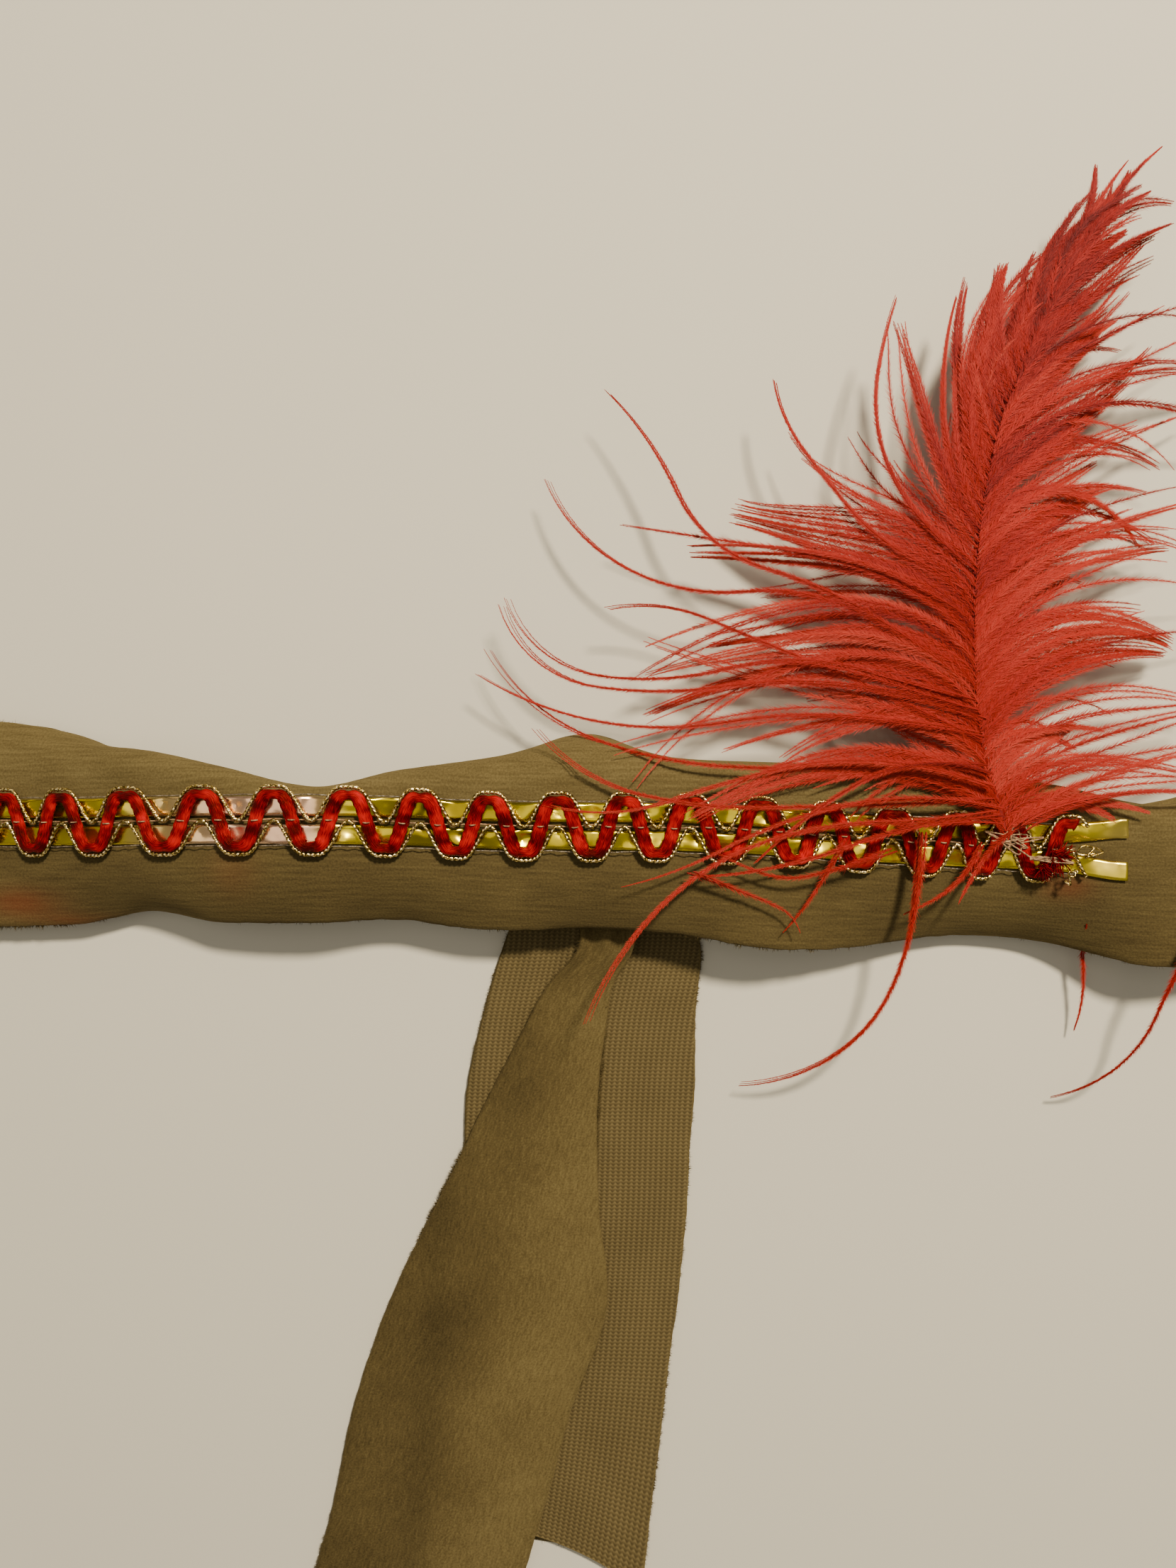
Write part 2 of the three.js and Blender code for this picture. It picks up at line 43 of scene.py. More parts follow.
rng = np.random.default_rng(7)


def report(stage):
    print(f"{stage}: {time.time() - started:.1f} s", flush=True)


# Small tools

def linear(hexColour):
    values = [int(hexColour[i:i + 2], 16) / 255 for i in (1, 3, 5)]
    return tuple(v / 12.92 if v <= 0.04045 else ((v + 0.055) / 1.055) ** 2.4 for v in values) + (1.0,)


def setInputs(node, inputs):
    # Inputs are given by name or number, and a socket among the values is linked.
    for key, value in inputs.items():
        if isinstance(value, bpy.types.NodeSocket):
            node.id_data.links.new(value, node.inputs[key])
        else:
            node.inputs[key].default_value = value


def addNode(tree, kind, inputs=(), output=0, stops=(), **settings):
    # Adds a node with its settings, links and ramp stops, and gives one of its outputs.
    node = tree.nodes.new("ShaderNode" + kind)
    for key, value in settings.items():
        setattr(node, key, value)
    setInputs(node, inputs if isinstance(inputs, dict) else dict(enumerate(inputs)))
    if stops:
        elements = node.color_ramp.elements
        while len(elements) < len(stops):
            elements.new(0.5)
        for element, (position, colour) in zip(elements, stops):
            element.position = position
            element.color = linear(colour)
    return node.outputs[output]


def weighed(tree, *parts):
    # The sum of the parts, each one a value and its weight.
    total = None
    for value, weight in parts:
        share = addNode(tree, "Math", [value, weight], operation="MULTIPLY")
        total = share if total is None else addNode(tree, "Math", [total, share], operation="ADD")
    return total


def fadeFrom(tree, *offsets):
    # One where the offsets are nought, falling off as a bell.
    away = weighed(tree, *((offset, offset) for offset in offsets))
    return addNode(tree, "Math", [weighed(tree, (away, -1.0))], operation="EXPONENT")


def newMaterial(name):
    material = bpy.data.materials.new(name)
    material.use_nodes = True
    return material, material.node_tree, material.node_tree.nodes["Principled BSDF"]


def smoothstep(x, low, high):
    t = np.clip((x - low) / (high - low), 0, 1)
    return t * t * (3 - 2 * t)


def smoothNoise(count, width):
    # Random heights blurred over a width in samples, with a spread of about one.
    noise = rng.normal(size=count + 6 * int(width) + 2)
    reach = int(3 * width)
    kernel = np.exp(-0.5 * (np.arange(-reach, reach + 1) / width) ** 2)
    blurred = np.convolve(noise, kernel / np.sqrt((kernel ** 2).sum()), "same")
    return blurred[reach:reach + count]


def makePiece(name, points, faces, materials, uv=None, faceMaterial=None, shade=None):
    # points in mm; faces is one array of quads or triangles, or a list of such arrays.
    points = np.asarray(points, float).reshape(-1, 3)
    groups = faces if isinstance(faces, list) else [faces]
    corners = np.concatenate([group.ravel() for group in groups]).astype(np.int32)
    totals = np.concatenate([np.full(len(group), group.shape[1]) for group in groups]).astype(np.int32)
    mesh = bpy.data.meshes.new(name)
    mesh.vertices.add(len(points))
    mesh.vertices.foreach_set("co", (points * 0.001).astype(np.float32).ravel())
    mesh.loops.add(len(corners))
    mesh.loops.foreach_set("vertex_index", corners)
    mesh.polygons.add(len(totals))
    mesh.polygons.foreach_set("loop_start", np.concatenate([[0], np.cumsum(totals)[:-1]]).astype(np.int32))
    mesh.polygons.foreach_set("loop_total", totals)
    if faceMaterial is not None:
        mesh.polygons.foreach_set("material_index", np.asarray(faceMaterial, np.int32))
    mesh.polygons.foreach_set("use_smooth", np.ones(len(totals), bool))
    if uv is not None:
        layer = mesh.uv_layers.new(name="UVMap")
        layer.data.foreach_set("uv", np.asarray(uv, np.float32).reshape(-1, 2)[corners].ravel())
    if shade is not None:
        attribute = mesh.attributes.new("shade", "FLOAT", "POINT")
        attribute.data.foreach_set("value", np.asarray(shade, np.float32).ravel())
    mesh.update(calc_edges=True)
    piece = bpy.data.objects.new(name, mesh)
    bpy.context.scene.collection.objects.link(piece)
    for material in materials:
        mesh.materials.append(material)
    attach(piece, "root")
    return piece


def ringFaces(rows, columns):
    # Quads between rings of points, one ring a row.
    i, j = np.meshgrid(np.arange(rows - 1), np.arange(columns), indexing="ij")
    after = (j + 1) % columns
    quads = [i * columns + j, i * columns + after, (i + 1) * columns + after, (i + 1) * columns + j]
    return np.stack(quads, -1).reshape(-1, 4)


def closedTube(rows, sides, flipped=False):
    # A tube's quads and the polygons that close its two ends.
    end = np.arange(sides)[None, :]
    faces = [ringFaces(rows, sides), end[:, ::-1], end + (rows - 1) * sides]
    return [group[:, ::-1] for group in faces] if flipped else faces


def manyTubes(count, steps):
    # Quads of open three-sided tubes that follow each other in one array of points.
    return (ringFaces(steps, 3)[None] + (np.arange(count) * steps * 3)[:, None, None]).reshape(-1, 4)


def unit(vectors):
    return vectors / np.maximum(np.linalg.norm(vectors, axis=-1, keepdims=True), 1e-9)


def lineFrame(lines, up=(0.0, 0.0, 1.0)):
    # The way along each line at its points, the way across it and the way up from both.
    along = unit(np.gradient(lines, axis=-2))
    across = unit(np.cross(along, np.asarray(up)))
    return along, across, np.cross(across, along)


def threeSided(across, up):
    # The corners of a three-sided tube, for a radius of one.
    return np.stack([across, -0.5 * across + 0.7 * up, -0.5 * across - 0.7 * up], 2)


def walkedAlong(points):
    return np.concatenate([[0], np.cumsum(np.linalg.norm(np.diff(points, axis=0), axis=1))])


def readAt(wanted, known, table):
    # Each column of a table, read where known reaches the wanted values.
    return np.stack([np.interp(wanted, known, column) for column in table.T], -1)


def evenly(points, count):
    # The same line through points, with count points at even steps along it.
    walked = walkedAlong(points)
    wanted = np.linspace(0, walked[-1], count)
    return readAt(wanted, walked, points), wanted


def smoothLine(points, count):
    # A Catmull-Rom line through a few points.
    return between(np.asarray(points, float), np.linspace(0, len(points) - 1, count))


def cubic(low, high, slopeLow, slopeHigh, share):
    rise = high - low
    return low + share * (slopeLow + share * (3 * rise - 2 * slopeLow - slopeHigh
                                              + share * (slopeLow + slopeHigh - 2 * rise)))


def between(values, place):
    # Smooth values at fractional row numbers: a cubic through the rows on each side.
    last = len(values) - 1
    start = np.clip(np.floor(place).astype(int), 0, last - 1)
    share = place - start
    if values.ndim > 1:
        share = share[:, None]
    before, low, high, after = (values[np.clip(start + step, 0, last)] for step in (-1, 0, 1, 2))
    return cubic(low, high, (high - before) / 2, (after - low) / 2, share)


def sweep(line, across, up, sides, sizeAcross, sizeUp, turn=0.0, lobes=0, depth=0.0):
    # A ring of points round each point of a line, an ellipse whose width and height are given.
    # lobes cuts that many grooves, turned by turn, so that a growing turn makes a twisted yarn.
    angle = np.linspace(0, 2 * np.pi, sides, endpoint=False)[None, :]
    turn = np.broadcast_to(np.asarray(turn, float), (len(line),))[:, None]
    radius = 1 - depth * (0.5 + 0.5 * np.cos(lobes * (angle - turn)))
    sizeAcross = np.broadcast_to(sizeAcross, (len(line),))[:, None]
    sizeUp = np.broadcast_to(sizeUp, (len(line),))[:, None]
    offset = (across[:, None, :] * (radius * np.cos(angle) * sizeAcross / 2)[..., None]
              + up[:, None, :] * (radius * np.sin(angle) * sizeUp / 2)[..., None])
    return line[:, None, :] + offset


# Camera and light

cameraDims = {"x": 0, "y": 0.0065, "z": 0.2, "lens": 27.0163, "sensor": 36}
camera = bpy.data.objects.new("camera", bpy.data.cameras.new("camera"))
camera.data.sensor_width = cameraDims["sensor"]
camera.data.lens = cameraDims["lens"]
camera.data.clip_start = 0.01
camera.location = [cameraDims[axis] for axis in "xyz"]
bpy.context.scene.collection.objects.link(camera)
bpy.context.scene.camera = camera

world = bpy.data.worlds.new("studio")
world.use_nodes = True
setInputs(world.node_tree.nodes["Background"], {"Color": linear("#efe9dd"), "Strength": 0.3})
bpy.context.scene.world = world


def addLight(name, place, aim, size, power, colour):
    light = bpy.data.lights.new(name, "AREA")
    light.shape = "DISK"
    light.size = size
    light.energy = power
    light.color = linear(colour)[:3]
    lamp = bpy.data.objects.new(name, light)
    bpy.context.scene.collection.objects.link(lamp)
    direction = np.array(place) - np.array(aim)
    lamp.location = place
    tilt = math.atan2(math.hypot(direction[0], direction[1]), direction[2])
    lamp.rotation_euler = (tilt, 0, math.atan2(direction[1], direction[0]) + math.pi / 2)


addLight("key", (0.2, 0.36, 0.6), (0.0, 0.0, 0.0), 0.09, 9.4, "#fff1dc")
addLight("fill", (-0.14, 0.0, 0.72), (0.0, 0.0, 0.0), 0.62, 0.9, "#fff6ea")

paper, tree, shader = newMaterial("matt_paper")
# Uncoated drawing paper: flat, even and warm, with a tooth too fine to cast shadows.
place = addNode(tree, "TexCoord", output="Object")
tooth = addNode(tree, "TexNoise", {"Vector": place, "Scale": 900.0, "Detail": 2.0})
bump = addNode(tree, "Bump", {"Height": tooth, "Strength": 0.08, "Distance": 0.0001})
setInputs(shader, {"Base Color": linear("#cbc6b3"), "Roughness": 0.9, "Normal": bump})
floorMesh = bpy.data.meshes.new("floor")
floorMesh.from_pydata([(-3, -3, 0), (3, -3, 0), (3, 3, 0), (-3, 3, 0)], [], [(0, 1, 2, 3)])
floor = bpy.data.objects.new("floor", floorMesh)
floor.location.z = -0.0001
floorMesh.materials.append(paper)
bpy.context.scene.collection.objects.link(floor)

# Materials

# Dye that has run from the plume: middle x and y, half width, half height in mm, and strength.
dyeStains = [
    (-93, -13, 7, 2.4, 0.5), (-84, -16, 6, 1.4, 0.4), (-56, -7.5, 4, 4, 0.16), (77, -10, 4, 2.2, 0.45)]


def clothMaterial(name, dark, middle, light, streaks, nap=0.0, scale=(0.13, 1.9, 1)):
    # Cotton velour: a short cut pile that lies over in places, so that it looks brushed in fine
    # streaks along the cloth. Its colour is also painted paler towards +v and darker towards -v,
    # painted shade for the band's lower half, which turns away from the light.
    material, tree, shader = newMaterial(name)
    uv = addNode(tree, "UVMap", uv_map="UVMap")
    brushed = addNode(tree, "Mapping", {"Vector": uv, "Rotation": (0, 0, nap), "Scale": scale})
    streak = addNode(tree, "TexNoise", {"Vector": brushed, "Scale": 1.0, "Detail": 3.0})
    patch = addNode(tree, "TexNoise", {"Vector": uv, "Scale": 0.06, "Detail": 5.0})
    grain = addNode(tree, "TexNoise", {"Vector": uv, "Scale": 3.0, "Detail": 3.0})
    aside = addNode(tree, "SeparateXYZ", [uv], output=1)
    # lean paints the colour paler towards +v and darker towards -v: painted shade for the band's lower half,
    # turning away from the light. The tails and the knot get it across their own v.
    lean = addNode(tree, "Math", [weighed(tree, (aside, 0.22))], operation="TANH")
    mixed = weighed(tree, (streak, streaks), (patch, 0.6 - streaks), (grain, 0.4), (lean, 0.075))
    colour = addNode(tree, "ValToRGB", [mixed], stops=((0.3, dark), (0.5, middle), (0.7, light)))
    place = addNode(tree, "SeparateXYZ", [addNode(tree, "TexCoord", output="Object")]).node
    blotch = weighed(tree, (patch, 1.4))
    for x, y, halfWidth, halfHeight, strength in dyeStains:
        offsets = []
        for axis, middleAt, half in ((0, x, halfWidth), (1, y, halfHeight)):
            offset = addNode(tree, "Math", [place.outputs[axis], middleAt / 1000], operation="SUBTRACT")
            offsets.append(weighed(tree, (offset, 1000 / half)))
        amount = weighed(tree, (fadeFrom(tree, *offsets), strength))
        stained = {"Factor": weighed(tree, (amount, blotch)), 6: colour, 7: linear("#6e2214")}
        colour = addNode(tree, "Mix", stained, output=2, data_type="RGBA")
    height = weighed(tree, (streak, streaks * 2), (grain, 0.6))
    bump = addNode(tree, "Bump", {"Height": height, "Strength": 0.4, "Distance": 0.0003})
    setInputs(shader, {
        "Base Color": colour, "Roughness": 0.95, "Specular IOR Level": 0.1, "Normal": bump,
        "Sheen Weight": 0.22, "Sheen Roughness": 0.5, "Sheen Tint": linear("#a89260")})
    return material


walePitch = 0.9
coursePitch = 0.63


def knitMaterial(name):
    # The velour's back is a fine jersey: upright wales crossed by slanting courses of loops.
    material, tree, shader = newMaterial(name)
    uv = addNode(tree, "UVMap", uv_map="UVMap")
    part = addNode(tree, "SeparateXYZ", [uv]).node
    acrossTurn = weighed(tree, (part.outputs[1], 2 * math.pi / walePitch))
    wale = addNode(tree, "Math", [acrossTurn], operation="SINE")
    alongTurn = weighed(tree, (part.outputs[0], 2 * math.pi / coursePitch), (wale, 1.3))
    course = addNode(tree, "Math", [alongTurn], operation="SINE")
    stitch = weighed(tree, (wale, 0.16), (course, 0.17))
    patch = addNode(tree, "TexNoise", {"Vector": uv, "Scale": 0.12, "Detail": 3.0})
    level = weighed(tree, (stitch, 1), (0.5, 1), (patch, 0.3))
    colour = addNode(tree, "ValToRGB", [level], stops=((0.2, "#3e331a"), (0.6, "#534729"), (1.0, "#6a5c39")))
    bump = addNode(tree, "Bump", {"Height": stitch, "Strength": 0.7, "Distance": 0.00025})
    setInputs(shader, {
        "Base Color": colour, "Roughness": 0.9, "Specular IOR Level": 0.2, "Normal": bump,
        "Sheen Weight": 0.15, "Sheen Roughness": 0.5, "Sheen Tint": linear("#98835a")})
    return material


velour = clothMaterial("cotton_velour", "#3d331c", "#544829", "#6b5e3a", 0.35)
tailVelour = clothMaterial("cotton_velour_tail", "#372e18", "#514527", "#6a5d38", 0.3,
                           nap=0.7, scale=(0.5, 2.2, 1))
knit = knitMaterial("jersey_back")

foil, tree, shader = newMaterial("metallised_film")
# Gold polyester film: mirror-bright and creased, so each facet picks up another part of the room.
place = addNode(tree, "TexCoord", output="Object")
crease = addNode(tree, "TexVoronoi", {"Vector": place, "Scale": 320.0}, feature="SMOOTH_F1")
ripple = addNode(tree, "TexNoise", {"Vector": place, "Scale": 140.0, "Detail": 1.0})
wide = addNode(tree, "TexNoise", {"Vector": place, "Scale": 38.0, "Detail": 1.0})
# A bell of tone within about 14 mm of x = -50 mm pushes the film towards the cream top stop: a painted
# highlight, a lamp's reflection painted into its colour.
fromPaintedHighlight = addNode(tree, "Math", [addNode(tree, "SeparateXYZ", [place]), 0.05], operation="ADD")
pale = fadeFrom(tree, weighed(tree, (fromPaintedHighlight, 70.0)))
tone = weighed(tree, (wide, 1), (pale, 0.6))
height = weighed(tree, (crease, 0.6), (ripple, 1))
bump = addNode(tree, "Bump", {"Height": height, "Strength": 0.8, "Distance": 0.002})
filmStops = ((0.36, "#9a8614"), (0.5, "#e2c924"), (0.72, "#f2d836"), (0.98, "#ffd0a6"))
colour = addNode(tree, "ValToRGB", [tone], stops=filmStops)
setInputs(shader, {"Base Color": colour, "Metallic": 1.0, "Roughness": 0.25, "Normal": bump})

satin, tree, shader = newMaterial("rayon_satin")
# Rayon braid: fine filaments along the cord give it long soft highlights, partly through its bumps
# and partly painted, the same streaks running lighter and darker in its colour as a painted sheen.
# Coarse patches darken it at random places, painted shade standing in for the braid's folds.
uv = addNode(tree, "UVMap", uv_map="UVMap")
fine = addNode(tree, "Mapping", {"Vector": uv, "Scale": (0.7, 9.0, 1)})
filament = addNode(tree, "TexNoise", {"Vector": fine, "Scale": 1.0, "Detail": 2.0})
coarse = addNode(tree, "Mapping", {"Vector": uv, "Scale": (0.45, 0.3, 1)})
# folds: darker patches at random places, painted shade standing in for the braid's folds.
folds = addNode(tree, "TexNoise", {"Vector": coarse, "Scale": 1.0, "Detail": 1.0})
level = weighed(tree, (filament, 0.45), (folds, 0.55))
colour = addNode(tree, "ValToRGB", [level], stops=((0.42, "#2a0003"), (0.52, "#75030a"), (0.64, "#b51416")))
bump = addNode(tree, "Bump", {"Height": filament, "Strength": 0.6, "Distance": 0.0002})
setInputs(shader, {
    "Base Color": colour, "Roughness": 0.4, "Normal": bump, "Anisotropic": 0.5,
    "Specular Tint": linear("#ff5038")})

goldYarn, tree, shader = newMaterial("metallic_yarn")
# Film-wrapped yarn: a pale gold metal that glitters, dark in the grooves between its plies.
place = addNode(tree, "TexCoord", output="Object")
speck = addNode(tree, "TexNoise", {"Vector": place, "Scale": 2600.0, "Detail": 1.0})
colour = addNode(tree, "ValToRGB", [speck], stops=((0.36, "#5e4a1e"), (0.52, "#bfa354"), (0.62, "#ffe9b0")))
bump = addNode(tree, "Bump", {"Height": speck, "Strength": 0.5, "Distance": 0.0001})
setInputs(shader, {"Base Color": colour, "Metallic": 1.0, "Roughness": 0.3, "Normal": bump})


def threadMaterial(name, colour, dark, roughness):
    # Sewing thread: spun, with a faint glint along each twist.
    material, tree, shader = newMaterial(name)
    place = addNode(tree, "TexCoord", output="Object")
    twist = addNode(tree, "TexNoise", {"Vector": place, "Scale": 1800.0, "Detail": 1.0})
    shown = addNode(tree, "ValToRGB", [twist], stops=((0.4, dark), (0.6, colour)))
    setInputs(shader, {"Base Color": shown, "Roughness": roughness, "Specular IOR Level": 0.6})
    return material


nylon = threadMaterial("nylon_thread", "#7d705c", "#4d4232", 0.3)
cotton = threadMaterial("cotton_thread", "#a8845c", "#755537", 0.7)

barb, tree, shader = newMaterial("dyed_feather")
# Dyed ostrich: matt keratin fibres, darker near the quill, that let a little light through.
shade = addNode(tree, "Attribute", output="Fac", attribute_name="shade")
barbStops = ((0.0, "#640503"), (0.3, "#9a140a"), (0.62, "#b92817"), (1.0, "#cb4a36"))
colour = addNode(tree, "ValToRGB", [shade], stops=barbStops)
setInputs(shader, {
    "Base Color": colour, "Roughness": 0.6, "Specular IOR Level": 0.25,
    "Sheen Weight": 0.12, "Sheen Roughness": 0.4, "Sheen Tint": linear("#ff7e66")})
through = addNode(tree, "BsdfTranslucent", {"Color": colour})
both = addNode(tree, "MixShader", [0.3, shader.outputs[0], through])
setInputs(tree.nodes["Material Output"], {"Surface": both})
report("materials")

# The band's shape, as in the frame

frontColumns = "x y z roll startAbove turnAbove curlAbove curlBelow below repeats".split()
frontRows = np.array([
    [-119, 0, 5.5, 0, 6.3, 10.3, 0, 0, 17.4, -2.2],
    [-108, 0.2, 5.2, 2, 6.3, 10.3, 4, 2, 17.4, -1.25],
    [-96.9, 0.3, 6.2, 3, 6.3, 10.3, 40, 7, 17.4, -0.24],
    [-84.3, 0.4, 8.6, 4, 6.3, 10.3, 95, 28, 17.4, 1],
    [-73.8, 0.6, 10.8, 2, 8.1, 7.8, 165, 66, 17.4, 1.95],
    [-60.2, 0.8, 13.4, 0, 5.4, 8, 174, 46, 17.4, 3.02],
    [-43.5, 0.9, 14.8, 2, 2.6, 5.9, 178, 38, 17.4, 4.46],
    [-30.2, 0.7, 14, 6, 4.5, 8, 176, 43, 17.4, 5.66],
    [-15.3, 0.1, 13.2, 6, 6, 8.3, 128, 20, 17.4, 7.02],
    [0.1, -0.1, 13.2, 4, 6.3, 10.3, 78, 34, 17.4, 8.45],
    [14.7, -0.3, 13, 2, 6.6, 8.8, 140, 23, 17.4, 9.87],
    [28.3, -1, 12.4, 0, 7.3, 8.6, 160, 5, 18.4, 11.1],
    [42.1, -1.9, 11.4, 3, 7.8, 8.3, 165, 20, 18.2, 12.43],
    [58.4, -2.8, 10.2, 8, 7.5, 8.3, 170, 43, 17.4, 13.94],
    [67.2, -3.2, 10.1, 8, 7.2, 8.3, 170, 48, 17.4, 15],
    [76.6, -3.6, 10.8, 7, 6.1, 8.4, 178, 40, 17.5, 16],
    [91.5, -4, 12.6, 2, 3.7, 8.4, 180, 4, 18.2, 17.4],
    [105, -3.4, 13.4, 0, 5.4, 8.8, 120, 14, 17.8, 18.6],
    [121, -2, 11.6, 0, 6.3, 10.3, 45, 16, 17.4, 20],
    [136, -0.6, 8, 0, 6.3, 10.3, 0, 0, 17.4, 21.4],
])
backColumns = "x y z start curl gather".split()
leftBackRows = np.array([
    [-8.6, 1.2, 4.6, 15.4, 0, 0.5],
    [-17, -1, 2.9, 14, 90, 0.64],
    [-29, -3.9, 1.2, 10.5, 180, 0.97],
    [-44, -5, 0.7, 9.2, 180, 1],
    [-66, -2, 0.7, 9.8, 180, 1],
    [-84, -1.6, 0.7, 10.8, 180, 1],
    [-99, -0.2, 0.7, 15.6, 180, 1],
])
rightBackRows = np.array([
    [118, -2, 0.7, 15.4, 180, 1],
    [106, -7.4, 0.7, 12.4, 180, 1],
    [90, -9.6, 0.7, 10.8, 180, 1],
    [70, -5.4, 0.7, 10.6, 180, 1],
    [48, -5.2, 0.7, 10.8, 180, 1],
    [33, -4.5, 1.2, 10.5, 180, 0.97],
    [21, -1.2, 2.9, 14, 90, 0.64],
    [12.6, 1.2, 4.6, 15.4, 0, 0.5],
])
bandAbove = 16.6
marginTurn = 10.3
foldTurn = 3.4
trimBacking = 6.3
clothThickness = 1.4
pleatDepth = 4
bendSteps = 5
endRun = 9

columns = """
    x y z roll startAbove turnAbove curlAbove startBelow turnBelow curlBelow gather below repeats""".split()


def frontRow(row):
    found = dict(zip(frontColumns, row))
    found.update(startBelow=trimBacking, turnBelow=marginTurn, gather=1)
    return found


def backRow(row):
    found = dict(zip(backColumns, row))
    start, curl = found.pop("start"), found.pop("curl")
    for side in ("Above", "Below"):
        found.update({"start" + side: start, "turn" + side: foldTurn, "curl" + side: curl})
    found.update(roll=0, below=17.4, repeats=0)
    return found


def endRow(back, x):
    return {**back, "x": x, "y": 0, "curlAbove": 0, "curlBelow": 0}


def bendRows(lower, upper, side):
    rows = []
    radius = (upper["z"] - lower["z"]) / 2
    for turn in np.linspace(0, math.pi, bendSteps + 1):
        share = (1 - math.cos(turn)) / 2
        rows.append({**lower, "x": lower["x"] + side * radius * math.sin(turn),
                     "y": lower["y"] + (upper["y"] - lower["y"]) * share,
                     "z": lower["z"] + (upper["z"] - lower["z"]) * share})
    return rows


front = [frontRow(row) for row in frontRows]
leftBack = [backRow(row) for row in leftBackRows]
rightBack = [backRow(row) for row in rightBackRows]
leftEnd = endRow(leftBack[-1], front[0]["x"])
rightEnd = endRow(rightBack[0], front[-1]["x"])
leftBend = [endRow(leftEnd, leftEnd["x"] + endRun)] + bendRows(leftEnd, front[0], -1)[:-1]
rightBend = bendRows(rightEnd, front[-1], 1)[::-1][1:] + [endRow(rightEnd, rightEnd["x"] - endRun)]
loop = leftBack + leftBend + front + rightBend + rightBack
loopTable = np.array([[row[column] for column in columns] for row in loop])
frontStart = len(leftBack) + 1 + bendSteps
frontEnd = frontStart + len(front) - 1


def loopRow(place):
    values = between(loopTable, place)
    return dict(zip(columns, values.T))


def loopPoint(place):
    # Centripetal Catmull-Rom through the rows' x, y and z.
    points = loopTable[:, :3]
    points = np.concatenate([[2 * points[0] - points[1]], points, [2 * points[-1] - points[-2]]])
    start = np.clip(np.floor(place).astype(int), 0, len(loopTable) - 2)
    share = (place - start)[:, None]
    before, low, high, after = (points[start + k] for k in range(4))
    pairs = ((before, low), (low, high), (high, after))
    gaps = [np.linalg.norm(b - a, axis=1, keepdims=True) ** 0.5 for a, b in pairs]
    middle = (high - low) / gaps[1]
    slopeLow = (low - before) / gaps[0] - (high - before) / (gaps[0] + gaps[1]) + middle
    slopeHigh = middle - (after - low) / (gaps[1] + gaps[2]) + (after - high) / gaps[2]
    return cubic(low, high, slopeLow * gaps[1], slopeHigh * gaps[1], share)


def sectionPoint(place, sideways, up):
    # place is a row number with its fraction; sideways and up are arrays as long as place or wider.
    place = np.asarray(place, float)
    sideways, up = np.broadcast_arrays(np.asarray(sideways, float), np.asarray(up, float))
    wide = sideways.ndim > 1
    roll = np.radians(loopRow(place)["roll"])
    if wide:
        roll = roll[:, None]
    acrossPart = np.cos(roll) * sideways - np.sin(roll) * up
    upPart = np.sin(roll) * sideways + np.cos(roll) * up
    limit = len(loopTable) - 1
    along = loopPoint(np.clip(place + 1e-3, 0, limit)) - loopPoint(np.clip(place - 1e-3, 0, limit))
    along[:, 1] = 0
    along = unit(along)
    outward = np.stack([-along[:, 2], np.zeros(len(along)), along[:, 0]], -1)
    middle = loopPoint(place)
    if wide:
        points = middle[:, None, :] + outward[:, None, :] * upPart[..., None]
    else:
        points = middle + outward * upPart[..., None]
    points[..., 1] += acrossPart
    points[..., 2] = np.maximum(points[..., 2], 0)
    return points


def bandPoint(place, across, height):
    # across and height are grids with a row for each place.
    row = {key: values[:, None] for key, values in loopRow(place).items()}
    above = across > 0
    start = np.where(above, row["startAbove"], row["startBelow"])
    length = np.where(above, row["turnAbove"], row["turnBelow"])
    bend = np.radians(np.where(above, row["curlAbove"], row["curlBelow"])) / length
    bend = np.where(np.abs(bend) < 1e-4, 1e-4, bend)
    size = np.abs(across)
    straight = np.minimum(size, start)
    turning = np.clip(size - straight, 0, length)
    beyond = size - straight - turning
    turn = bend * turning
    sideways = straight + np.sin(turn) / bend + beyond * np.cos(turn) + height * np.sin(turn)
    drop = (1 - np.cos(turn)) / bend + beyond * np.sin(turn) - height * np.cos(turn)
    gathered = np.maximum(1 - row["gather"], 0)
    pleat = pleatDepth * gathered * np.cos(2 * np.pi * across / bandAbove)
    return sectionPoint(place, row["gather"] * np.sign(across) * sideways, pleat - drop)


def placeOf(column, values):
    # The places on the front half where a rising column reaches each value.
    dense = np.linspace(frontStart, frontEnd, 4000)
    return np.interp(values, loopRow(dense)[column], dense)


def evenPlaces(count):
    dense = np.linspace(0, len(loopTable) - 1, 6000)
    walked = walkedAlong(loopPoint(dense))
    wanted = np.linspace(0, walked[-1], count)
    return np.interp(wanted, walked, dense), wanted


# Cloth sheets: one closed skin round each, with the pile on one face and the knit on the other.

edgeRound = [(0.18, 0.5), (0.3, 0.18), (0.3, -0.18), (0.18, -0.5)]  # beyond the cut edge, and height


def sheetSection(pileCount, backCount):
    # Round the section: share of the half width from -1 to 1, how far past it, and height.
    half = clothThickness / 2
    pile = [(t, 0, half) for t in np.linspace(-1, 1, pileCount)]
    right = [(1, past, height) for past, height in edgeRound]
    back = [(t, 0, -half) for t in np.linspace(1, -1, backCount)]
    left = [(-1, past, -height) for past, height in edgeRound]
    ring = np.array(pile + right + back + left)
    isBack = np.zeros(len(ring), int)
    isBack[pileCount + len(right):pileCount + len(right) + backCount - 1] = 1
    return ring, isBack


def raggedEdge(count, fine, coarse, width):
    # How far a cut edge strays along the cloth, as a column.
    return (fine * smoothNoise(count, 1) + coarse * smoothNoise(count, width))[:, None]


